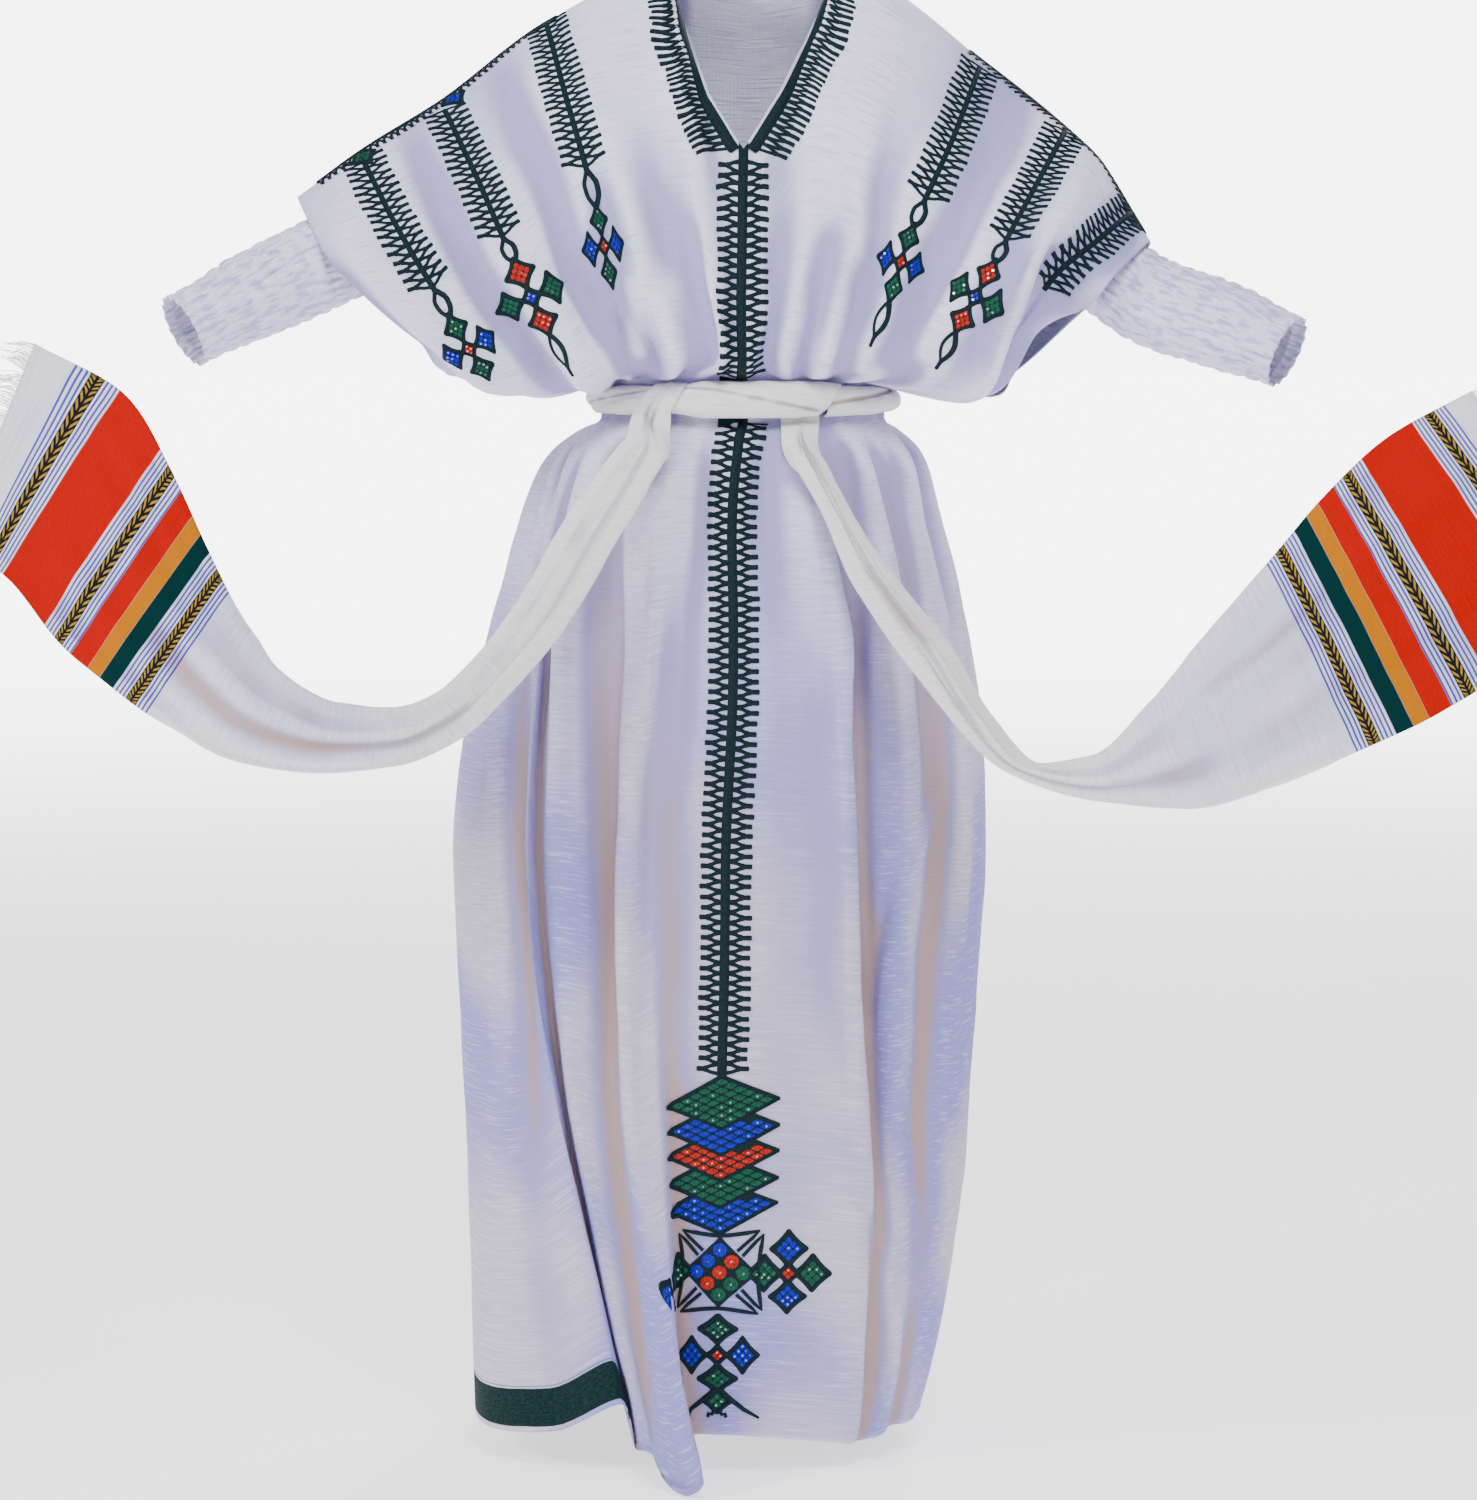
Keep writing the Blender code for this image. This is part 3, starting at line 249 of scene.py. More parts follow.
paper = Finish("pale paper", Base_Color=(0.94, 0.94, 0.95, 1.0), Roughness=0.95, Emission_Strength=WALL)
place = paper.add("ShaderNodeTexCoord", None, (), "Object")
away = paper.add("ShaderNodeVectorMath", {"operation": "LENGTH"}, (place,), "Value")
far = away.step(2.0, 10.0)
glow = (1.0 - far) * NEAR + far * (paper.parts(place)[1] / away).step(BESIDE, BEHIND) * (WALL - SKY * 0.94)
paper.feed(Emission_Color=paper.mix(glow / WALL, (0.0, 0.0, 0.0), (1.0, 1.0, 1.0)))
sheet = bpy.data.meshes.new("floor")
corners = [(x * FLOOR_HALF, y * FLOOR_HALF, FLOOR_Z) for x, y in ((-1, -1), (1, -1), (1, 1), (-1, 1))]
sheet.from_pydata(corners, [], [(0, 1, 2, 3)])
sheet.materials.append(paper.material)
ground = bpy.data.objects.new("floor", sheet)
scene.collection.objects.link(ground)

# %% [markdown]
# ## Curves through a few measured places
#
# The dress is described by short tables, as a maker would note a body's measures. A smooth curve that never
# overshoots is led through each column of a table, so few numbers give a soft cloth and not a lumpy one.

# %% curves
def slopes(places, values):
    """Slopes of a smooth curve through values that never overshoots them."""
    step = np.diff(places)[:, None]
    rise = np.diff(values, axis=0) / step
    result = np.zeros_like(values)
    result[0], result[-1] = rise[0], rise[-1]
    left, right = rise[:-1], rise[1:]
    a, b = 2 * step[1:] + step[:-1], step[1:] + 2 * step[:-1]
    same = left * right > 0
    safe_left, safe_right = np.where(same, left, 1.0), np.where(same, right, 1.0)
    result[1:-1] = np.where(same, (a + b) / (a / safe_left + b / safe_right), 0.0)
    return result


def hermite(places, values, tangents, at):
    """Cubic curve through values with the given tangents, read at each place."""
    at = np.clip(np.asarray(at, float), places[0], places[-1])
    k = np.clip(np.searchsorted(places, at, side="right") - 1, 0, len(places) - 2)
    step = (places[k + 1] - places[k])[:, None]
    t = ((at - places[k])[:, None]) / step
    return (
        (2 * t**3 - 3 * t**2 + 1) * values[k]
        + (t**3 - 2 * t**2 + t) * step * tangents[k]
        + (3 * t**2 - 2 * t**3) * values[k + 1]
        + (t**3 - t**2) * step * tangents[k + 1]
    )


def through(places, values, at):
    """Smooth curve through a table's values, without overshoot."""
    places, values = np.asarray(places, float), np.asarray(values, float)
    flat = values.ndim == 1
    values = values[:, None] if flat else values
    found = hermite(places, values, slopes(places, values), np.atleast_1d(at))
    return found[:, 0] if flat else found


def travelled(points):
    """How far each point of a line is along it."""
    return np.concatenate([[0], np.cumsum(np.linalg.norm(np.diff(points, axis=0), axis=1))])


def between(grid, row, column, down, across):
    """A grid's values between four of its points, by shares down and across."""
    above = grid[row, column] * (1 - across) + grid[row, column + 1] * across
    below = grid[row + 1, column] * (1 - across) + grid[row + 1, column + 1] * across
    return above * (1 - down) + below * down


def quads(index):
    """The faces between the points of a grid of point numbers."""
    return np.stack([index[:-1, :-1], index[1:, :-1], index[1:, 1:], index[:-1, 1:]], -1).reshape(-1, 4)


def smooth(low, high, value):
    """0 below low, 1 above high, and a soft S between."""
    t = np.clip((value - low) / (high - low), 0.0, 1.0)
    return t * t * (3 - 2 * t)


def unit(vectors):
    """Vectors of length 1 in the same directions."""
    return vectors / np.maximum(np.linalg.norm(vectors, axis=-1, keepdims=True), 1e-9)


UP = np.array((0.0, 0.0, 1.0))
print("curves ready")

# %% [markdown]
# ## The form of the two panels
#
# Each panel is one rectangle of cloth with its sleeves cut in one, sewn to the other at the shoulders and the
# sides, and drawn in at the waist by the sash. The tables are the same as those of the solid model, so the fine
# cloth lies where the solid says. The upper half is led through points down each line, from the shoulder to the
# belt. The skirt is a ring for each height, with its folds given as turns round that ring.

# %% measures of the panels
MM = 1000.0  # millimetres in a metre; the tables are in mm
WAIST_Z = -0.385  # height of the middle of the belt
GROOVE_SIDE, GROOVE_FRONT = 0.0175, 0.0200  # half height of the waist under the belt
TURN_RADIUS, HEM_BAND = 0.011, 0.047  # roll of the turned hem, and the height of the border below it
ROLL_SHARE, ROLL_TURN = 0.72, 150.0  # share of the turned hem that is rolled, and the degrees it rolls through
HALF_WIDTH = 0.515  # half of a panel's flat width
ROUND_POWER = 2.3  # how square the skirt is seen from above: 2 is an ellipse

# rings of the skirt in mm: height, wearer's right, wearer's left, front, back
SKIRT_RINGS = (
    (-385, -139, 135, -110, 102),
    (-404.5, -140, 136, -110.5, 102.5),
    (-414, -160, 150, -117, 109),
    (-434, -184, 168, -124, 120),
    (-483, -209, 184, -131, 130),
    (-580, -240, 210, -138, 146),
    (-727, -276, 233, -142, 155),
    (-826, -285, 235, -143, 158),
    (-1000, -279, 226, -142, 162),
    (-1177, -272, 213, -138, 167),
    (-1330, -270, 187, -128, 172),
    (-1430, -262, 160, -122, 175),
)


def in_metres(*lines):
    """Rows of a table with their points in metres."""
    return [(name, place, *[tuple(n / MM for n in point) for point in points]) for name, place, *points in lines]


# lines down the upper half: name, place across the panel, points in mm from the shoulder to just above the belt
DOWN = (0.0, 0.13, 0.37, 0.63, 0.85, 1.0)  # how far down the upper half those points are; 1 is the belt
FRONT_LINES = in_metres(
    ("right cuff", -1.0, (-416, -125, -196), (-390, -180, -240), (-360, -180, -278), (-305, -148, -328),
         (-249, -85, -364)),
    ("right band C", -0.84, (-360, -100, -153), (-326, -160, -213), (-283, -176, -285), (-249, -153, -344),
         (-213, -107, -381)),
    ("right band B", -0.63, (-287, -55, -103), (-253, -118, -166), (-215, -153, -250), (-181, -148, -319),
         (-151, -115, -371)),
    ("right band A", -0.39, (-191, -5, -26), (-171, -87, -91), (-142, -135, -190), (-121, -142, -282),
         (-96, -128, -351)),
    ("right neck side", -0.17, (-74, -10, 23), (-65, -88, -68), (-51, -130, -181), (-40, -139, -273),
         (-29, -134, -345)),
    ("right of the V", -0.085, (-36, -98, -96), (-31, -113, -140), (-27, -134, -213), (-22, -140, -288),
         (-16, -135, -347)),
    ("middle", 0.0, (-2, -122, -152), (-2, -130, -187), (-2, -138, -236), (-3, -141, -296), (-3, -136, -349)),
    ("left of the V", 0.085, (37, -98, -89), (29, -113, -140), (25, -134, -213), (23, -140, -288),
         (17, -135, -348)),
    ("left neck side", 0.17, (89, -10, 23), (74, -88, -68), (60, -130, -181), (51, -139, -273), (40, -134, -348)),
    ("left band A", 0.39, (225, -5, -60), (197, -87, -128), (154, -137, -222), (132, -142, -291),
         (109, -126, -355)),
    ("left band B", 0.63, (307, -55, -131), (276, -124, -180), (234, -166, -253), (200, -160, -314),
         (169, -112, -371)),
    ("left sleeve fold", 0.73, (334, -70, -159), (309, -144, -196), (275, -188, -246), (247, -176, -314),
         (207, -112, -385)),
    ("left band C", 0.85, (363, -95, -209), (326, -152, -236), (286, -160, -268), (250, -124, -321),
         (213, -78, -384)),
    ("left cuff", 1.0, (377, -125, -237), (345, -174, -262), (316, -166, -297), (276, -118, -319),
         (217, -55, -381)),
)
BACK_LINES = in_metres(
    ("right cuff", -1.0, (-416, -125, -196), (-398, -72, -232), (-345, -22, -290), (-292, -20, -345),
         (-249, -85, -364)),
    ("right band C", -0.84, (-360, -100, -153), (-345, -30, -190), (-295, 20, -275), (-255, 30, -338),
         (-213, 10, -373)),
    ("right band B", -0.63, (-287, -55, -103), (-275, 25, -150), (-240, 72, -245), (-212, 82, -318),
         (-178, 66, -366)),
    ("right band A", -0.39, (-191, -5, -26), (-183, 70, -85), (-158, 112, -190), (-143, 120, -282),
         (-118, 106, -355)),
    ("right neck side", -0.17, (-74, -10, 23), (-82, 82, -50), (-76, 130, -170), (-66, 136, -273),
         (-55, 124, -350)),
    ("right of the nape", -0.085, (-46, 45, 16), (-41, 98, -50), (-38, 138, -170), (-33, 141, -273),
         (-28, 128, -350)),
    ("middle", 0.0, (6, 68, 10), (4, 104, -52), (2, 141, -170), (0, 142, -273), (0, 129, -350)),
    ("left of the nape", 0.085, (60, 45, 16), (52, 98, -50), (43, 138, -170), (36, 141, -273), (28, 128, -350)),
    ("left neck side", 0.17, (89, -10, 23), (92, 82, -52), (82, 130, -172), (70, 136, -273), (55, 124, -350)),
    ("left band A", 0.39, (225, -5, -60), (212, 66, -112), (172, 110, -205), (150, 118, -290), (120, 104, -356)),
    ("left band B", 0.63, (307, -55, -131), (290, 18, -175), (250, 65, -255), (218, 76, -322), (180, 62, -368)),
    ("left band C", 0.85, (363, -95, -209), (348, -32, -228), (300, 12, -290), (258, 20, -345), (214, 2, -378)),
    ("left cuff", 1.0, (377, -125, -237), (366, -74, -264), (321, -50, -302), (262, -40, -356), (217, -55, -381)),
)

print(len(SKIRT_RINGS), "rings of the skirt and", len(FRONT_LINES) + len(BACK_LINES), "lines of the upper half")

# %% soft folds and gathers
# by panel: name, from (across, down), to (across, down), width and height out in mm
UPPER_FOLDS = {
    "front": (
        ("right breast fold", (-0.33, 0.3), (-0.29, 0.98), 16, 13),
        ("beside the right breast fold", (-0.375, 0.35), (-0.35, 0.95), 20, -10),
        ("right shoulder dip", (-0.5, 0.1), (-0.44, 0.8), 24, -10),
        ("right sleeve dip", (-0.735, 0.08), (-0.69, 0.8), 22, -9),
        ("right sleeve swell", (-0.62, 0.35), (-0.56, 0.92), 30, 10),
        ("right cuff roll", (-0.93, 0.15), (-0.9, 0.75), 22, 7),
        ("left breast fold", (0.3, 0.42), (0.24, 1.0), 14, 12),
        ("beside the left breast fold", (0.235, 0.5), (0.195, 0.98), 18, -9),
        ("left shoulder dip", (0.5, 0.08), (0.44, 0.85), 24, -11),
        ("left band swell", (0.4, 0.45), (0.37, 0.92), 22, 8),
        ("middle swell", (-0.12, 0.45), (-0.11, 0.95), 20, 6),
        ("left middle dip", (0.11, 0.4), (0.1, 0.95), 20, -6),
    ),
    "back": (
        ("nape dip", (-0.15, 0.25), (-0.1, 0.98), 24, -10),
        ("nape swell", (0.02, 0.3), (0.03, 0.98), 26, 10),
        ("left nape dip", (0.17, 0.3), (0.13, 0.98), 22, -10),
        ("right blade fold", (-0.38, 0.25), (-0.3, 0.98), 24, 12),
        ("left blade fold", (0.36, 0.25), (0.3, 0.98), 24, 12),
        ("right back sleeve dip", (-0.56, 0.12), (-0.48, 0.9), 24, -11),
        ("left sleeve dip", (0.54, 0.12), (0.47, 0.9), 24, -11),
        ("right cuff swell", (-0.76, 0.2), (-0.72, 0.8), 26, 8),
        ("left cuff swell", (0.76, 0.2), (0.72, 0.8), 26, 8),
    ),
}

# line, place across, turns and distances out (mm) at the six levels, border height (m), roll under, hang (mm)
LEVELS = (0.0, 0.09, 0.29, 0.60, 0.85, 1.0)
FRONT_FOLDS = (
    ("right side seam", -1.00, (0, 0, 0, 0, 0, 0), (0, 0, 0, 0, 0, 0), -1.334, 0, 47),
    ("ridge 1", -0.86, (10, 18, 27, 33, 31, 28), (0, 2, 6, 8, 8, 6), -1.342, 0, 47),
    ("dip 1", -0.76, (17, 26, 37, 44, 48, 53), (0, -3, -4, -3, 1, 3), -1.334, 0, 47),
    ("edge 2", -0.68, (23, 31, 44, 50, 62, 71), (0, -1, 0, 1, 6, 14), -1.298, 0, 47),
    ("deep 2", -0.60, (29, 36, 47, 53, 65, 76), (0, -10, -17, -19, -17, -32), -1.397, 0, 9),
    ("ridge 3", -0.50, (38, 45, 55, 59, 70, 81), (0, 6, 10, 8, 14, 34), -1.379, 0, 8),
    ("dip 4", -0.38, (50, 58, 67, 68, 75, 84), (0, -10, -12, -6, 10, 48), -1.400, 0, 8),
    ("ridge 5", -0.22, (66, 71, 75, 75, 81, 89), (0, 6, 9, 10, 26, 66), -1.4105, 0, 8),
    ("tongue edge", -0.17, (72, 75, 78, 79, 84, 91), (0, 3, 4, 6, 28, 68), -1.396, 0, 8),
    ("under the tongue", -0.14, (76, 79, 82, 82, 84, 88), (0, 0, 0, 0, 0, 4), -1.378, 0, 9),
    ("middle", 0.00, (90, 90, 91, 91, 92, 94), (0, 0, 2, 3, 3, 5), -1.369, 1, 9),
    ("flat", 0.10, (99, 100, 102, 103, 105, 107), (0, 1, 3, 4, 3, 4), -1.374, 1, 9),
    ("left ridge 5", 0.20, (110, 112, 114, 118, 123, 129), (0, 6, 12, 12, 9, 6), -1.385, 1, 9),
    ("left deep 4", 0.32, (120, 120, 120, 123, 129, 136), (0, -12, -20, -13, -6, -8), -1.389, 1, 9),
    ("left ridge 3", 0.48, (130, 131, 131, 130, 138, 143), (0, 4, 6, 3, 3, 4), -1.384, 1, 9),
    ("left dip 2", 0.62, (141, 141, 142, 141, 147, 151), (0, -8, -15, -5, -3, -6), -1.381, 1, 9),
    ("left ridge 1", 0.80, (157, 156, 155, 154, 159, 160), (0, 2, 4, 3, 4, 4), -1.379, 1, 9),
    ("left side seam", 1.00, (180, 180, 180, 180, 180, 180), (0, 0, 0, 0, 0, 0), -1.376, 1, 9),
)
BACK_FOLDS = (
    ("right side seam", -1.00, (0, 0, 0, 0, 0, 0), (0, 0, 0, 0, 0, 0), -1.334, 0, 47),
    ("ridge 1", -0.86, (12, 13, 14, 15, 15, 15), (0, 3, 7, 8, 8, 8), -1.340, 0, 47),
    ("dip 2", -0.70, (27, 27, 28, 28, 28, 28), (0, -8, -13, -14, -12, -10), -1.342, 0, 47),
    ("ridge 3", -0.55, (40, 41, 42, 43, 43, 42), (0, 6, 12, 14, 15, 14), -1.352, 0, 47),
    ("dip 4", -0.38, (56, 56, 55, 55, 56, 57), (0, -9, -15, -15, -12, -10), -1.350, 0, 47),
    ("ridge 5", -0.22, (70, 70, 70, 71, 72, 72), (0, 5, 13, 15, 16, 16), -1.358, 0, 47),
    ("dip 6", -0.06, (85, 85, 84, 84, 84, 84), (0, -8, -14, -16, -14, -12), -1.354, 0, 47),
    ("ridge 7", 0.10, (99, 99, 99, 98, 98, 98), (0, 6, 12, 15, 17, 18), -1.360, 0, 47),
    ("dip 8", 0.26, (113, 113, 113, 112, 112, 112), (0, -9, -15, -14, -12, -12), -1.354, 0, 47),
    ("ridge 9", 0.42, (128, 127, 127, 127, 126, 126), (0, 5, 12, 14, 15, 14), -1.358, 0, 47),
    ("dip 10", 0.58, (142, 142, 142, 142, 142, 141), (0, -8, -14, -14, -12, -10), -1.352, 0, 47),
    ("ridge 11", 0.76, (158, 158, 158, 158, 158, 158), (0, 4, 8, 9, 9, 8), -1.358, 0, 42),
    ("left side seam", 1.00, (180, 180, 180, 180, 180, 180), (0, 0, 0, 0, 0, 0), -1.376, 1, 9),
)
GATHERS = 13.0  # gather waves across each panel at the belt
GATHER_AT_BELT, GATHER_BELOW, GATHER_ABOVE = 0.0016, 0.0045, 0.0040
print(sum(map(len, UPPER_FOLDS.values())), "soft folds,", len(FRONT_FOLDS) + len(BACK_FOLDS), "fold lines")

# %% the ring of the skirt
def ring(turn, height, side):
    """Point of the plain ring at a turn in degrees and a height; side is -1 for the front and 1 for the back."""
    table = np.array(SKIRT_RINGS) / MM
    sizes = through(-table[:, 0], table[:, 1:], -np.asarray(height, float).ravel())
    right, left, front, back = (sizes[:, k].reshape(np.shape(height)) for k in range(4))
    angle = np.radians(turn)
    cos, sin = np.cos(angle), np.clip(np.sin(angle), 0.0, 1.0)
    across = np.sign(cos) * np.abs(cos) ** (2 / ROUND_POWER)
    depth = np.where(side < 0, front, back) * sin ** (2 / ROUND_POWER)
    return np.stack([(right + left) / 2 - (left - right) / 2 * across, depth, np.asarray(height, float)], -1)


def ring_out(turn, height, side):
    """Outward direction of that ring, level."""
    low, high = np.clip(turn - 1.5, 0.0, 180.0), np.clip(turn + 1.5, 0.0, 180.0)
    along = ring(high, height, side) - ring(low, height, side)
    out = np.stack([along[..., 1], -along[..., 0], np.zeros_like(along[..., 0])], -1) * -side
    out = unit(out)
    near = np.minimum(turn, 180.0 - turn)
    level = np.stack([np.where(turn < 90, -1.0, 1.0), np.zeros_like(near), np.zeros_like(near)], -1)
    share = smooth(0.0, 6.0, near)[..., None]
    return unit(out * share + level * (1 - share))


def groove(turn, side):
    """Half height of the waist under the belt."""
    front = np.sin(np.radians(turn)) ** 2
    return GROOVE_SIDE + (GROOVE_FRONT - GROOVE_SIDE) * front * (1.0 if side < 0 else 0.3)


def skirt_table(folds, across):
    """Turn, distance out, border height, roll and hang of the fold lines, read at each place across."""
    places = [row[1] for row in folds]
    turns, outs, hems, under, hang = (through(places, [row[k] for row in folds], across) for k in range(2, 7))
    return turns, outs / MM, hems, under, hang / MM


print("front of the waist at", ring(90.0, WAIST_Z, -1).round(3))


# %% the upper half
def upper_points(lines, other, across, down, side):
    """Points of the upper half, as an array of rows down by columns across."""
    places = np.array([row[1] for row in lines])
    knots = np.array(DOWN)
    columns = [through(places, [row[2 + k] for row in lines], across) for k in range(5)]
    seam = through([row[1] for row in FRONT_LINES], [row[2] for row in FRONT_LINES], across)
    sewn = smooth(0.165, 0.170, np.abs(across))[:, None]
    columns[0] = columns[0] * (1 - sewn) + seam * sewn
    edge = np.array([row[2] for row in lines])
    straight = np.stack([np.interp(across, places, edge[:, k]) for k in range(3)], -1)
    if side < 0:  # the V is straight; the nape is round
        columns[0] = straight * (1 - sewn) + columns[0] * sewn
    turn = skirt_table(FRONT_FOLDS if side < 0 else BACK_FOLDS, across)[0][:, 0]
    columns.append(ring(turn, WAIST_Z + groove(turn, side), side))
    over_back = through([row[1] for row in other], [row[3] for row in other], across)
    values = np.stack(columns)
    tangents = np.empty_like(values)
    for k in range(1, 5):
        before, after = knots[k] - knots[k - 1], knots[k + 1] - knots[k]
        tangents[k] = (
            (values[k] - values[k - 1]) / before * after + (values[k + 1] - values[k]) / after * before
        ) / (before + after)
    free = (values[1] - values[0]) / knots[1]
    over = (values[1] - over_back) / (2 * knots[1])
    ridge = smooth(0.120, 0.170, np.abs(across))[:, None]
    tangents[0] = 1.25 * over * ridge + free * (1 - ridge)
    last = (values[5] - values[4]) / (knots[5] - knots[4])
    sewn = smooth(0.93, 1.0, np.abs(across))[:, None]
    tangents[4] = tangents[4] * (1 - sewn) + last * sewn
    tangents[5] = last
    points = np.empty((len(down), len(across), 3))
    for c in range(len(across)):
        points[:, c] = hermite(knots, values[:, c], tangents[:, c], down)
    return points


print("upper half ready")


# %% the whole panel
def panel(side, across, down, fall, curl):
    """Rows of one whole panel from the shoulder to the turned hem, without its thickness."""
    front = side < 0
    lines, other = (FRONT_LINES, BACK_LINES) if front else (BACK_LINES, FRONT_LINES)
    folds = FRONT_FOLDS if front else BACK_FOLDS
    turns, outs, hems, under, hang = skirt_table(folds, across)
    upper = upper_points(lines, other, across, down, side)
    wave = np.cos(math.pi * GATHERS * across + (0.0 if front else 1.1))
    wave = (0.65 * wave + 0.35 * np.cos(math.pi * 0.57 * GATHERS * across + 2.0)) * (
        1 - smooth(0.93, 1.0, np.abs(across)))
    # the upper half
    push = np.zeros(upper.shape[:2])
    for _, (u0, v0), (u1, v1), width, high in UPPER_FOLDS["front" if front else "back"]:
        t = np.clip((down - v0) / (v1 - v0), 0.0, 1.0)
        middle = u0 + (u1 - u0) * t
        gap = (across[None, :] - middle[:, None]) * 0.50
        ends = smooth(v0 - 0.12, v0 + 0.18, down) * (1 - smooth(v1 - 0.10, v1 + 0.02, down))
        push += high / MM * ends[:, None] * np.exp(-((gap / (width / MM)) ** 2))
    near_belt = smooth(0.62, 0.93, down) * (1 - smooth(0.97, 1.0, down))
    push += near_belt[:, None] * GATHER_ABOVE * wave[None, :]
    push += -smooth(0.95, 1.0, down)[:, None] * GATHER_AT_BELT * (1 - wave)[None, :] / 2
    push *= (1 - smooth(0.96, 1.0, np.abs(across)))[None, :]
    along_u = np.gradient(upper, across, axis=1)
    along_v = np.gradient(upper, down, axis=0)
    upper = upper + unit(np.cross(along_v, along_u) * (1.0 if front else -1.0)) * push[..., None]
    # the skirt
    rows = []
    start = WAIST_Z - groove(turns[:, 0], side)
    for share in fall:
        turn = through(LEVELS, turns.T, share)[0]
        out = through(LEVELS, outs.T, share)[0]
        height = start + (hems - start) * share
        amount = GATHER_BELOW * smooth(0.0, 0.05, share) * (1 - smooth(0.07, 0.24, share))
        out = out + amount * wave - GATHER_AT_BELT * (1 - smooth(0.0, 0.05, share)) * (1 - wave) / 2
        rows.append(ring(turn, height, side) + ring_out(turn, height, side) * out[:, None])
    skirt = np.stack(rows)
    # the hem: rolled under where it is turned, straight down where it hangs
    last, before = skirt[-1], skirt[-2]
    out = ring_out(turns[:, -1], hems, side)
    slope = unit(last - before)
    tail = []
    for t in curl:
        angle = math.radians(min(t / ROLL_SHARE, 1.0) * ROLL_TURN)
        past = max(t - ROLL_SHARE, 0.0) * HEM_BAND
        inward = out * (TURN_RADIUS * (1 - math.cos(angle)) + past * 0.5)
        rise = past * 0.8 - TURN_RADIUS * math.sin(angle)
        rolled = last - inward + UP * rise
        hanging = last + slope * hang[:, None] * t
        tail.append(rolled * under[:, None] + hanging * (1 - under[:, None]))
    return np.concatenate([upper, skirt, np.stack(tail)])


print("panel form ready")

# %% [markdown]
# ## Fine cloth on that form
#
# The solids carry the large folds. Real hand-woven cotton also has small gathers at the belt, soft creases that
# run off the shoulders, and a slight crinkle all over. Each is a ridge or a trough laid along a short line on
# the cloth, pushed along the cloth's own outward direction. A cloth simulation could find such folds too, but it
# wouldn't find these ones, and the main folds have to match the garment, so they're placed one by one.

# %% a grid of cloth
def outward(grid, sign):
    """Outward directions over a grid of points, the mean of the faces round each."""
    faces = unit(np.cross(grid[1:, 1:] - grid[:-1, :-1], grid[1:, :-1] - grid[:-1, 1:])) * sign
    wide = np.pad(faces, ((1, 1), (1, 1), (0, 0)), mode="edge")
    return unit(wide[1:, 1:] + wide[1:, :-1] + wide[:-1, 1:] + wide[:-1, :-1])


def lumps(x, y, seed):
    """Smooth chance values from -1 to 1, one lump per unit of x and y."""
    table = np.random.default_rng(seed).uniform(-1, 1, (64, 64))
    i, j = np.floor(x).astype(int), np.floor(y).astype(int)
    fx, fy = x - i, y - j
    fx, fy = fx * fx * (3 - 2 * fx), fy * fy * (3 - 2 * fy)
    read = lambda a, b: table[a % 64, b % 64]
    top = read(i, j) * (1 - fx) + read(i + 1, j) * fx
    low = read(i, j + 1) * (1 - fx) + read(i + 1, j + 1) * fx
    return top * (1 - fy) + low * fy


def along_line(places, rows, path, mu, mv):
    """Signed distance from a line on the cloth in metres, and how far along the line, from 0 to 1."""
    best = np.full(mu.shape, 9.0)
    signed, share = np.zeros(mu.shape), np.zeros(mu.shape)
    span = len(path) - 1
    for k in range(span):
        (u0, v0), (u1, v1) = path[k], path[k + 1]
        x, y = (places[None, :] - u0) * mu, (rows[:, None] - v0) * mv
        dx, dy = (u1 - u0) * mu, (v1 - v0) * mv
        size = dx * dx + dy * dy
        t = np.clip((x * dx + y * dy) / size, 0.0, 1.0)
        gap = np.hypot(x - t * dx, y - t * dy)
        closer = gap < best
        best = np.where(closer, gap, best)
        signed = np.where(closer, gap * np.sign(x * dy - y * dx), signed)
        share = np.where(closer, (k + t) / span, share)
    return signed, share


def crease(places, rows, mu, mv, path, width, high, lean=0.0, sharp=0.35):
    """Height of one soft crease: its crest over its path, with a shallow trough on both sides."""
    signed, share = along_line(places, rows, path, mu, mv)
    taper = smooth(0.0, sharp, share) * smooth(0.0, sharp, 1.0 - share)
    wide = width * (1.0 + lean * np.sign(signed))
    return high * taper * (np.exp(-((signed / wide) ** 2)) - 0.35 * np.exp(-((signed / (2.2 * wide)) ** 2)))


print("grid helpers ready")
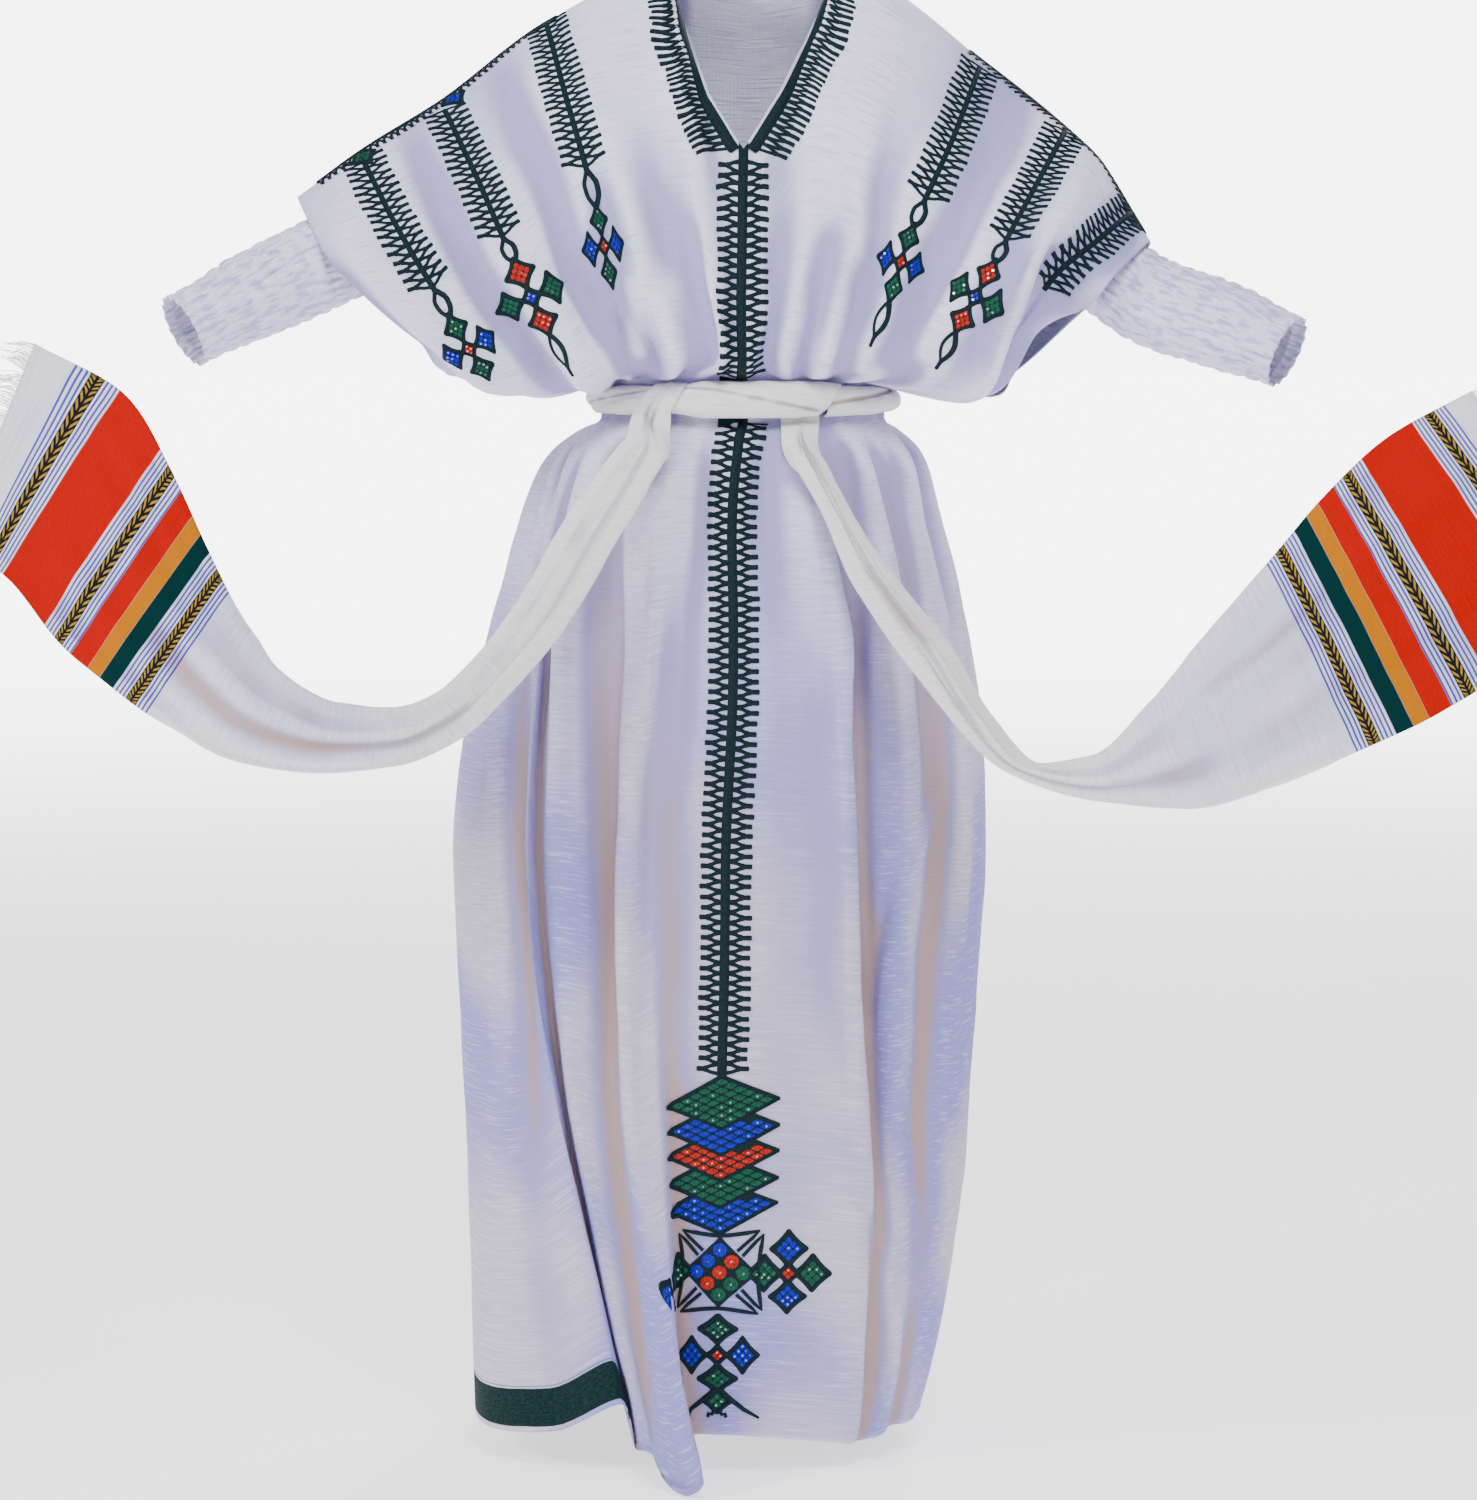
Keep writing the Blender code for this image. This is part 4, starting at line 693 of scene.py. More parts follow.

# %% [markdown]
# ### Creases
#
# Each row is one crease: the points of its line as (across, down), and its width and height in millimetres.
# Down runs from 0 at the shoulder to 1 at the belt, then to 2 at the border, and a trough has a
# negative height.

# %% creases placed one by one
CREASES = {
    "front": (
        (((-0.285, 1.02), (-0.29, 1.19), (-0.245, 1.38), (-0.27, 1.5), (-0.255, 1.63), (-0.19, 1.78)), 13, 8),
        (((-0.43, 1.02), (-0.425, 1.22), (-0.405, 1.3), (-0.37, 1.43), (-0.352, 1.55), (-0.31, 1.68)), 19, -10),
        (((-0.81, 1.04), (-0.8, 1.32), (-0.79, 1.47), (-0.793, 1.58), (-0.81, 1.85)), 12, 6.5),
        (((-0.89, 1.06), (-0.875, 1.35), (-0.88, 1.62), (-0.9, 1.9)), 14, -6),
        (((-0.72, 1.1), (-0.71, 1.4), (-0.72, 1.6), (-0.74, 1.8)), 13, -5.5),
        (((-0.53, 1.01), (-0.52, 1.15), (-0.5, 1.32), (-0.52, 1.48)), 11, 6),
        (((0.168, 1.01), (0.2, 1.11), (0.227, 1.195), (0.183, 1.307), (0.1945, 1.44), (0.187, 1.54),
             (0.235, 1.71), (0.372, 1.857), (0.42, 1.97)), 11, 7.5),
        (((0.25, 1.01), (0.275, 1.11), (0.295, 1.2), (0.26, 1.31), (0.262, 1.44), (0.255, 1.54), (0.3, 1.7),
             (0.42, 1.84)), 17, -9.5),
        (((0.43, 1.0), (0.45, 1.12), (0.46, 1.25), (0.44, 1.4)), 12, 6),
        (((0.56, 1.0), (0.57, 1.14), (0.56, 1.3)), 11, -6),
        (((0.88, 1.0), (0.8, 1.1), (0.834, 1.184), (0.8, 1.35)), 12, -6),
        (((0.7, 1.1), (0.63, 1.3), (0.626, 1.37), (0.51, 1.446)), 10, 6.5),
        (((0.3, 1.6), (0.33, 1.566), (0.381, 1.484), (0.427, 1.4445)), 8, -5),
        (((0.58, 1.42), (0.6, 1.6), (0.56, 1.85)), 15, -6),
        (((0.8, 1.2), (0.76, 1.47), (0.724, 1.77)), 14, 6),
        (((0.1276, 1.86), (0.1382, 1.98)), 5, -4),
        (((0.36, 1.8), (0.47, 1.9), (0.5, 1.99)), 9, 5),
        (((-0.419, 0.4), (-0.4075, 0.65), (-0.449, 0.8), (-0.44, 0.92)), 9, -7),
        (((-0.365, 0.42), (-0.35, 0.65), (-0.385, 0.82), (-0.37, 0.98)), 8, 5.5),
        (((-0.286, 0.52), (-0.31, 0.75), (-0.29, 0.99)), 8, -5.5),
        (((-0.2, 0.45), (-0.195, 0.72), (-0.175, 0.99)), 8, -4.5),
        (((-0.13, 0.58), (-0.1, 0.99)), 6.5, 3.5),
        (((0.12, 0.5), (0.115, 0.99)), 8, -4),
        (((0.264, 0.7), (0.25, 0.99)), 6.5, -5),
        (((0.2, 0.62), (0.19, 0.99)), 6.5, 4),
        (((0.2556, 0.3), (0.3244, 0.684), (0.335, 0.99)), 11, -6),
        (((0.7, 0.2), (0.71, 0.387), (0.707, 0.52), (0.71, 0.643), (0.7, 0.76), (0.68, 0.92)), 9, 10.5),
        (((0.765, 0.22), (0.772, 0.387), (0.77, 0.52), (0.77, 0.643), (0.76, 0.8)), 10, -7.5),
        (((-0.5, 0.22), (-0.51, 0.516), (-0.49, 0.67), (-0.46, 0.88)), 13, -6),
        (((-0.74, 0.12), (-0.745, 0.4), (-0.72, 0.66), (-0.68, 0.88)), 14, -6),
        (((-0.95, 0.12), (-0.955, 0.4), (-0.93, 0.7)), 12, 5),
        (((0.297, 0.1), (0.313, 0.35), (0.36, 0.65), (0.42, 0.93)), 12, -6.5),
        (((0.5, 0.08), (0.515, 0.38), (0.5, 0.66), (0.48, 0.9)), 12, -6),
    ),
    "back": (
        (((-0.62, 1.01), (-0.6, 1.3), (-0.63, 1.6), (-0.61, 1.9)), 16, -9.5),
        (((-0.48, 1.01), (-0.5, 1.3), (-0.47, 1.62)), 13, 7.5),
        (((-0.22, 1.01), (-0.25, 1.35), (-0.21, 1.7), (-0.24, 1.95)), 17, -8.5),
        (((-0.08, 1.02), (-0.06, 1.28), (-0.09, 1.55)), 12, 6.5),
        (((0.16, 1.01), (0.19, 1.34), (0.15, 1.66)), 15, -9),
        (((0.3, 1.01), (0.33, 1.3), (0.31, 1.62), (0.35, 1.92)), 13, 7.5),
        (((0.52, 1.01), (0.5, 1.32), (0.54, 1.7)), 16, -8.5),
        (((0.76, 1.04), (0.74, 1.4), (0.77, 1.8)), 13, 6),
        (((-0.33, 0.4), (-0.3, 0.7), (-0.31, 0.99)), 10, -6),
        (((0.31, 0.36), (0.28, 0.68), (0.3, 0.99)), 10, -6),
        (((0.02, 0.48), (0.03, 0.99)), 9, 4.5),
        (((-0.56, 0.18), (-0.55, 0.5), (-0.5, 0.85)), 12, -6),
        (((0.57, 0.16), (0.55, 0.5), (0.51, 0.85)), 12, -6),
    ),
}

print(sum(map(len, CREASES.values())), "creases by hand")

# %% chance gathers above and below the belt
def gathers(side):
    """Short ridges and troughs that run into the belt from above and below, different for each panel."""
    chance = np.random.default_rng(11 if side < 0 else 23)
    found = []
    for k in range(30):
        u = -0.95 + 1.9 * (k + chance.uniform(0.2, 0.8)) / 30
        top = chance.uniform(0.55, 0.84)
        found.append((((u * 1.10 + chance.normal(0, 0.01), top), (u, 1.0)), chance.uniform(0.0035, 0.0075),
                      chance.uniform(0.0012, 0.0034) * chance.choice((-1, 1))))
    for k in range(42):
        u = -0.96 + 1.92 * (k + chance.uniform(0.2, 0.8)) / 42
        low = 1.0 + chance.uniform(0.10, 0.46)
        found.append((((u, 1.0), (u + chance.normal(0, 0.006), low)), chance.uniform(0.004, 0.010),
                      chance.uniform(0.0014, 0.0044) * chance.choice((-1, 1))))
    return found


print(len(gathers(-1)), "gathers a panel")


# %% places of the fine grid
def fine_places():
    """Places across a panel, closer together where the front folds over itself."""
    u = np.linspace(-1, 1, 4001)
    weight = 1.0 + 1.6 * np.exp(-(((u + 0.17) / 0.05) ** 2)) + 0.9 * np.exp(-(((u + 0.62) / 0.10) ** 2))
    total = np.concatenate([[0], np.cumsum((weight[1:] + weight[:-1]) / 2)])
    places = np.interp(np.linspace(0, total[-1], 171), total, u)
    return np.unique(np.concatenate([places, (-0.17, 0.17, 0.0)]).round(5))


ACROSS = fine_places()
UPPER_ROWS = np.linspace(0.0, 1.0, 96)
SKIRT_ROWS = np.concatenate([np.linspace(0.0, 0.30, 62)[:-1], np.linspace(0.30, 1.0, 74)])
HEM_ROWS = np.linspace(0.0, 1.0, 13)[1:]
ROWS = np.concatenate([UPPER_ROWS, 1.0 + np.maximum(SKIRT_ROWS, 0.0004), 2.0 + HEM_ROWS])
CLOTH = 0.0012  # thickness
CREASE_GAIN, TAIL_GAIN = 1.3, 1.2  # how much higher than in their tables the creases are laid
print("grid of", len(ROWS), "rows by", len(ACROSS), "columns")


# %% a panel of fine cloth
class Laid:
    """One piece of cloth as a grid: places across, rows down, points, outward directions and metres a unit."""

    def __init__(self, places, rows, points, sign):
        self.places, self.rows, self.sign = places, rows, sign
        self.set(points)

    def set(self, points):
        self.points, self.out = points, outward(points, self.sign)

    def at(self, u, v, lift=0.0):
        """Point of the cloth at places across and down, lifted off it."""
        u, v, lift = np.broadcast_arrays(np.asarray(u, float), v, lift)
        i = np.clip(np.searchsorted(self.places, u, side="right") - 1, 0, len(self.places) - 2)
        j = np.clip(np.searchsorted(self.rows, v, side="right") - 1, 0, len(self.rows) - 2)
        a = np.clip((u - self.places[i]) / (self.places[i + 1] - self.places[i]), 0, 1)[..., None]
        b = np.clip((v - self.rows[j]) / (self.rows[j + 1] - self.rows[j]), 0, 1)[..., None]
        points, out = (between(grid, j, i, b, a) for grid in (self.points, self.out))
        return points + unit(out) * lift[..., None]

    def spread(self, u, v):
        """How far the cloth goes for a unit across and for a unit down, as vectors."""
        left, right = np.maximum(u - 0.008, -1), np.minimum(u + 0.008, 1)
        above, below = np.maximum(v - 0.006, 0), np.minimum(v + 0.006, 3)
        return ((self.at(right, v) - self.at(left, v)) / (right - left)[..., None],
                (self.at(u, below) - self.at(u, above)) / (below - above)[..., None])


def fine_panel(side):
    """The panel with its creases, gathers and crinkle."""
    plain = panel(side, ACROSS, UPPER_ROWS, SKIRT_ROWS, HEM_ROWS)
    laid = Laid(ACROSS, ROWS, plain, side)
    mu = np.linalg.norm(np.gradient(plain, ACROSS, axis=1), axis=-1)
    mv = np.minimum(np.linalg.norm(np.gradient(plain, ROWS, axis=0), axis=-1), 1.6)
    mu = np.minimum(mu, 1.2)
    push = np.zeros(mu.shape)
    for path, width, high in CREASES["front" if side < 0 else "back"]:
        push += crease(ACROSS, ROWS, mu, mv, path, width / MM, high / MM * CREASE_GAIN)
    for path, width, high in gathers(side):
        push += crease(ACROSS, ROWS, mu, mv, path, width, high, 0.0, 0.5)
    steps = np.linalg.norm(np.diff(plain, axis=0), axis=-1).mean(1)
    x, y = np.meshgrid(ACROSS * HALF_WIDTH, np.cumsum(np.r_[0, steps]))
    push += 0.0011 * lumps(x / 0.055, y / 0.075, 5 + side) + 0.0005 * lumps(x / 0.020, y / 0.030, 9 + side)
    free = np.concatenate([smooth(0.0, 0.05, UPPER_ROWS) * (1 - 0.8 * smooth(0.97, 1.0, UPPER_ROWS)),
                           smooth(-0.01, 0.03, SKIRT_ROWS), 1 - 0.7 * HEM_ROWS])
    edge = 1 - smooth(0.955, 1.0, np.abs(ACROSS))
    neck = 1 - (1 - smooth(0.02, 0.08, ROWS))[:, None] * (1 - smooth(0.19, 0.23, np.abs(ACROSS)))[None, :]
    push *= free[:, None] * edge[None, :] * neck
    laid.set(plain + laid.out * push[..., None])
    laid.push, laid.flat = push, np.stack([x, y], -1)
    return laid


FRONT, BACK = fine_panel(-1), fine_panel(1)
print("push of the front from", round(FRONT.push.min() * MM, 1), "to", round(FRONT.push.max() * MM, 1), "mm")

# %% how deep each place lies in a fold
def hollows(points, out, reach):
    """Depth of each place under the chord over it, as a share of its reach; positive in a trough."""
    depth = np.empty(points.shape[:2])
    for k, row in enumerate(points):
        run = travelled(row)
        left, right = (np.stack([np.interp(run + way, run, row[:, axis]) for axis in range(3)], -1)
                       for way in (-reach, reach))
        depth[k] = ((left + right - 2 * row) * out[k]).sum(-1) / (2 * reach)
    return depth


def shade_depth(points, out, scales):
    """Depth in the folds from 0 to 1, summed over a few reaches and softened: (weight, reach, added)."""
    depth = np.clip(sum(weight * (hollows(points, out, reach) + more) for weight, reach, more in scales), 0, 1)
    wide = np.pad(depth, ((2, 2), (2, 2)), mode="edge")
    rows, columns = depth.shape
    return sum(wide[j : j + rows, i : i + columns] for j in range(5) for i in range(5)) / 25


print("fold depth ready")


# %% a shell of cloth between two grids
def cloth_mesh(name, points, faces, places):
    """A mesh whose UV map is the place on the flat cloth, in metres."""
    mesh = bpy.data.meshes.new(name)
    mesh.from_pydata([tuple(p) for p in points], [], faces)
    mesh.uv_layers.new(name="cloth").data.foreach_set("uv", places.ravel().astype(np.float32))
    return mesh


def shell(name, outer, inner, flat, finish, slot, node, closed=False, **numbers):
    """A closed thin shell between an outer and an inner grid, with its place on the flat cloth as its UV map."""
    index, place = (np.arange(grid.shape[0] * grid.shape[1]).reshape(grid.shape[:2]) for grid in (outer, flat))
    if closed:
        index = np.concatenate([index, index[:, :1]], 1)

    def rims(grid, shift):
        lines = [grid[0], grid[-1, ::-1]] + ([] if closed else [grid[::-1, 0], grid[:, -1]])
        return [np.stack([line[:-1], line[1:], line[1:] + shift, line[:-1] + shift], -1) for line in lines]

    shift = outer.shape[0] * outer.shape[1]
    faces = np.concatenate([quads(index), quads(index)[:, ::-1] + shift, *rims(index, shift)])
    uvs = np.concatenate([quads(place), quads(place)[:, ::-1], *rims(place, 0)])
    lead = np.cross(outer[1:, 1:] - outer[:-1, :-1], outer[1:, :-1] - outer[:-1, 1:])
    if (lead * (outer - inner)[:-1, :-1]).sum() > 0:
        faces, uvs = faces[:, ::-1], uvs[:, ::-1]
    points = np.concatenate([outer.reshape(-1, 3), inner.reshape(-1, 3)])
    mesh = cloth_mesh(name, points, faces.tolist(), flat.reshape(-1, 2)[uvs.ravel()])
    for key, values in numbers.items():
        stored = mesh.attributes.new(key, "FLOAT", "POINT")
        stored.data.foreach_set("value", np.tile(np.asarray(values, float).ravel(), 2).astype(np.float32))
    return placed(name, mesh, finish, node)


def placed(name, mesh, finish, node=None):
    """Puts a mesh in the scene as a piece of the dress, in place of a solid where it stands for one."""
    mesh.polygons.foreach_set("use_smooth", np.ones(len(mesh.polygons), bool))
    mesh.materials.append(finish.material)
    made = bpy.data.objects.new(name, mesh)
    scene.collection.objects.link(made)
    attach(made, "root")
    if node:
        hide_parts(node)
    print(name, sum(len(face.vertices) - 2 for face in mesh.polygons), "triangles")
    return made


print("shells ready")

# %% [markdown]
# ## Hand-woven cotton
#
# The cloth is a loose plain weave with thick and thin threads. Seen close it shows faint slubs across, and it is
# so thin that deep folds turn warm where light passes through several layers, while open cloth stays a cool
# white. Here the folds' shadow and that warmth are painted shade: deep folds are painted dark lilac and, low on
# the panel, warm brown, and the lower part of each panel is painted lilac. The slubs change colour and height,
# the painted shade only colour, both over the flat cloth, so they follow every fold.

# %% cotton
# the last two of these are painted shade colours, for the folds and for the deepest folds
WHITE, SHADE, PAINTED_FOLD_SHADE, PAINTED_WARM_SHADE = (0.82, 0.82, 0.96), (0.71, 0.70, 0.92), (0.33, 0.30, 0.60), (0.46, 0.30, 0.17)
# painted shade colour for the lower part of each panel
PAINTED_LOW_SHADE = (0.20, 0.188, 0.62)
CREAM = (0.78, 0.70, 0.62)
BORDER_GREEN, BORDER_LINE = (0.0002, 0.008, 0.009), (0.01, 0.10, 0.11)


def woven(finish, fine=1.0):
    """Height and mottle of the plain weave, slubs across and along."""
    slub = finish.noise(26.0, 430.0 * fine, 3.0, 0.6)
    warp = finish.noise(560.0 * fine, 26.0, 2.0, 0.5, 7.3)
    return slub * 0.65 + warp * 0.35, slub


def cotton(name):
    """Cotton for one panel, with painted shade in its folds and lower part, and the green border woven in along
    its hem.
    """
    finish = Finish(name, Roughness=0.92, Sheen_Weight=0.04, Sheen_Roughness=0.6, Specular_IOR_Level=0.15)
    height, slub = woven(finish)
    depth = finish.stored("depth")
    cloud = finish.noise(7.0, 5.0, 2.0, 0.5, 2.0)
    colour = finish.mix(cloud.step(0.35, 0.7) * 0.5, WHITE, SHADE)
    low = finish.flat()[1].step(0.35, 0.95)
    # painted shade: the lower part of each panel is painted lilac
    colour = finish.mix(low * 0.86, colour, PAINTED_LOW_SHADE)
    colour = finish.mix(finish.noise(4.0, 2.5, 2.0, 0.5, 5.0).step(0.42, 0.62) * low * 0.60, colour, CREAM)
    colour = finish.mix(slub.step(0.52, 0.70) * 0.30, colour, (0.96, 0.95, 0.97))
    colour = finish.mix(slub.step(0.48, 0.30) * 0.34, colour, (0.34, 0.31, 0.50))
    # painted shade: places deep in a fold are painted dark lilac, and the deepest ones low on the panel warm
    # brown
    colour = finish.mix(depth.step(0.02, 0.58) * 0.88, colour, PAINTED_FOLD_SHADE)
    colour = finish.mix(depth.step(0.45, 1.0) * low * 0.70, colour, PAINTED_WARM_SHADE)
    below, hangs = finish.stored("below"), finish.stored("hangs")
    down = below + (finish.noise(40.0, 40.0) - 0.5) * 0.0016
    band = down.step(0.0030, 0.0040) * down.step(0.0420, 0.0410) * hangs.step(0.4, 0.6)
    line = down.band(0.0012, 0.0006, 0.0006) * hangs.step(0.4, 0.6)
    thread = finish.noise(300.0, 900.0, 2.0, 0.6)
    green = finish.mix(thread.step(0.3, 0.75), BORDER_GREEN, (0.001, 0.030, 0.027))
    colour = finish.mix(line * 0.7, finish.mix(band, colour, green), BORDER_LINE)
    finish.feed(Base_Color=colour)
    finish.bump(height, 0.0016)
    return finish


def panel_piece(name, laid, node, slot, side):
    """The shell of one panel, with what its cotton needs to know at each point."""
    folds = FRONT_FOLDS if side < 0 else BACK_FOLDS
    hang = skirt_table(folds, laid.places)[4]
    start = np.where(laid.rows <= 2.0)[0][-1]
    steps = np.linalg.norm(np.diff(laid.points, axis=0), axis=-1)
    down = np.concatenate([np.zeros((1, len(hang))), np.cumsum(steps, axis=0)])
    hangs = np.broadcast_to(smooth(0.030, 0.040, hang), down.shape)
    # how deep each place lies in a fold, which the cotton paints as shade
    depth = shade_depth(laid.points, laid.out, ((1.7, 0.012, 0.02), (2.1, 0.026, 0.05), (1.2, 0.050, 0.10)))
    inner = laid.points - laid.out * CLOTH
    return shell(name, laid.points, inner, laid.flat, cotton(name + " cotton"), slot, node,
                 below=down - down[start], hangs=hangs, depth=depth)


front = panel_piece("front_panel", FRONT, "dress_front", "front_cotton", -1)
back = panel_piece("back_panel", BACK, "dress_back", "back_cotton", 1)

# %% [markdown]
# ## Embroidery
#
# The bands are worked in dark green thread: a flat spine of chain stitch rows, and ribs on both sides of it that
# fork on their way in. Small quilted diamonds of green, blue and red thread hang from the bands, with a sequin in
# many of their cells. Stitches lie on the cloth and follow its folds, so each design is drawn in flat metres, and
# a placer turns those into places on the draped panel. A ribbon with a raised middle is then laid there.

# %% placers: from flat metres to places on the cloth
WALK = 0.004  # metres a step to either side of a line


class Strip:
    """Flat metres along a line on a panel: y along it, and x to the right for a reader when the line runs down.

    Steps to either side are walked straight over the cloth, so that a rib keeps its length over a fold."""

    def __init__(self, laid, path, reach=0.052, count=150):
        path = np.array(path, float)
        knots = travelled(path)
        share = np.linspace(0, knots[-1], count)
        u, v = (np.interp(share, knots, path[:, k]) for k in (0, 1))
        points = laid.at(u, v)
        self.y = travelled(points)
        self.long, steps = self.y[-1], int(reach / WALK) + 1
        wide = np.pad(points, ((6, 6), (0, 0)), mode="reflect", reflect_type="odd")
        soft = np.stack([np.convolve(wide[:, k], np.ones(13) / 13, mode="valid") for k in range(3)], -1)
        run = unit(np.gradient(soft, axis=0))
        self.x = np.arange(-steps, steps + 1) * WALK
        self.u, self.v = np.empty((2, count, 2 * steps + 1))
        self.u[:, steps], self.v[:, steps] = u, v
        for way in (-1, 1):
            at_u, at_v = u, v
            across, down = laid.spread(u, v)
            heading = unit(np.cross(unit(np.cross(across, down)) * laid.sign, run)) * way
            for k in range(1, steps + 1):
                across, down = laid.spread(at_u, at_v)
                a, b, c = (across**2).sum(-1), (across * down).sum(-1), (down**2).sum(-1)
                p, q = (across * heading).sum(-1) * WALK, (down * heading).sum(-1) * WALK
                size = np.maximum(a * c - b * b, 1e-6)
                step_u, step_v = (p * c - q * b) / size, (q * a - p * b) / size
                at_u, at_v = np.clip(at_u + step_u, -1, 1), np.clip(at_v + step_v, 0, 3)
                heading = unit(heading + unit(across * step_u[:, None] + down * step_v[:, None]))
                self.u[:, steps + way * k], self.v[:, steps + way * k] = at_u, at_v
        for table, middle in ((self.u, u), (self.v, v)):
            off = np.pad(table - middle[:, None], ((3, 3), (0, 0)), mode="edge")
            table[:] = middle[:, None] + sum(off[k : k + count] for k in range(7)) / 7

    def __call__(self, x, y):
        x, y = np.broadcast_arrays(np.asarray(x, float), y)
        i = np.clip(np.searchsorted(self.y, y) - 1, 0, len(self.y) - 2)
        j = np.clip(np.floor((x - self.x[0]) / WALK).astype(int), 0, len(self.x) - 2)
        a = (y - self.y[i]) / (self.y[i + 1] - self.y[i])
        b = (x - self.x[j]) / WALK
        return tuple(between(table, i, j, a, b) for table in (self.u, self.v))

    def low_side(self):
        """1 where x grows down the panel, -1 where it grows up."""
        return 1 if self(0.01, self.long / 2)[1] > self(-0.01, self.long / 2)[1] else -1

    def along(self, v):
        """Metres along the line where it passes a row."""
        return float(np.interp(v, self.v[:, len(self.x) // 2], self.y))


def moved(place, x0, y0, turn=0.0, wide=1.0):
    """The same placer about another point, turned by some degrees and stretched across."""
    cos, sin = math.cos(math.radians(turn)), math.sin(math.radians(turn))

    def found(x, y):
        x, y = np.asarray(x, float) * wide, np.asarray(y, float)
        return place(x0 + x * cos - y * sin, y0 + x * sin + y * cos)

    return found


print("placers ready")


# %% laying thread on the cloth
# sections of a thread: across it, and up
ROUND = ((-1.0, 0.0), (-0.6, 0.8), (0.0, 1.0), (0.6, 0.8), (1.0, 0.0))
FLAT = ((-1.0, 0.0), (-0.88, 0.85), (0.0, 1.0), (0.88, 0.85), (1.0, 0.0))
THIN = ((-1.0, 0.0), (0.0, 1.0), (1.0, 0.0))


def grid_faces(rows, columns):
    """The faces of a grid whose points are listed row by row."""
    return quads(np.arange(rows * columns).reshape(rows, columns))[:, ::-1].tolist()


print("sections of a thread:", len(ROUND), "or", len(THIN), "points across")


# %% stitches on a panel
class Embroidery:
    """Stitches on one panel, kept apart by colour until each colour becomes one piece."""

    def __init__(self, laid, seed):
        self.laid, self.chance, self.kinds = laid, np.random.default_rng(seed), {}

    def add(self, kind, points, faces, places):
        store = self.kinds.setdefault(kind, ([], [], []))
        base = sum(len(block) for block in store[0])
        store[0].append(points)
        store[1].extend([tuple(base + k for k in face) for face in faces])
        store[2].append(places)

    def ribbon(self, place, line, half, high, profile=ROUND, base=0.0003):
        """Raised ribbon along a line of flat points, half wide at each of them."""
        line = np.array(line, float)
        half = np.broadcast_to(np.asarray(half, float), len(line))
        run = unit(np.gradient(line, axis=0))
        side = np.stack([-run[:, 1], run[:, 0]], -1)
        across = np.array(profile)
        flat = line[:, None] + side[:, None] * (half[:, None] * across[:, 0])[..., None]
        lift = base + high * across[None, :, 1] * np.minimum(1.0, half / max(half.max(), 1e-6))[:, None]
        u, v = place(flat[..., 0], flat[..., 1])
        points = self.laid.at(u, v, lift).reshape(-1, 3)
        length = travelled(line)
        places = np.stack([(half[:, None] * across[:, 0]), np.broadcast_to(length[:, None], u.shape)], -1)
        self.add("thread", points, grid_faces(*u.shape), places.reshape(-1, 2))

    def dome(self, kind, place, outline, middle, high, base=0.0009):
        """Small filled pad of satin stitch, highest in its middle."""
        flat = np.concatenate([outline, (outline - middle) * 0.62 + middle, [middle]])
        n, faces = len(outline), []
        for k in range(n):
            m = (k + 1) % n
            faces += [(k, m, n + m, n + k), (n + k, n + m, 2 * n)]
        lift = base + high * np.repeat((0.0, 0.8, 1.0), (n, n, 1))
        self.add(kind, self.laid.at(*place(*flat.T), lift), faces, flat)

    def carpet(self, place, grid, lift=0.0006):
        """Flat stitched ground over a grid of flat points."""
        grid = np.array(grid, float)
        u, v = place(grid[..., 0], grid[..., 1])
        points = self.laid.at(u, v, lift).reshape(-1, 3)
        self.add("thread", points, grid_faces(*u.shape), grid.reshape(-1, 2))

    def sequin(self, kind, place, x, y, radius=0.00135, lift=0.0019):
        """A small disc, tipped a little by its stitch."""
        u, v = place(np.array([x, x + 0.001, x]), np.array([y, y, y + 0.001]))
        points = self.laid.at(u, v, lift)
        first, second = unit(points[1] - points[0]), unit(points[2] - points[0])
        normal = unit(np.cross(first, second))
        tip = self.chance.normal(0, 0.22, 2)
        first, second = unit(first + normal * tip[0]), unit(second + normal * tip[1])
        turns = np.arange(7) * 2 * math.pi / 7
        rim = points[0] + radius * (first * np.cos(turns)[:, None] + second * np.sin(turns)[:, None])
        faces = [(k, (k + 1) % 7, 7) for k in range(7)]
        self.add(kind, np.concatenate([rim, points[:1]]), faces, np.zeros((8, 2)))

    def count(self):
        """How many stitches and sequins it has so far."""
        return sum(len(store[0]) for store in self.kinds.values())

    def pieces(self, side, slot, finishes):
        """One mesh for each colour of thread and sequin."""
        made = []
        for kind, (points, faces, places) in sorted(self.kinds.items()):
            corners = [k for face in faces for k in face]
            mesh = cloth_mesh(kind, np.concatenate(points), faces, np.concatenate(places)[corners])
            made.append(placed(kind + "_" + side, mesh, finishes[kind]))
        return made


print("stitches ready")


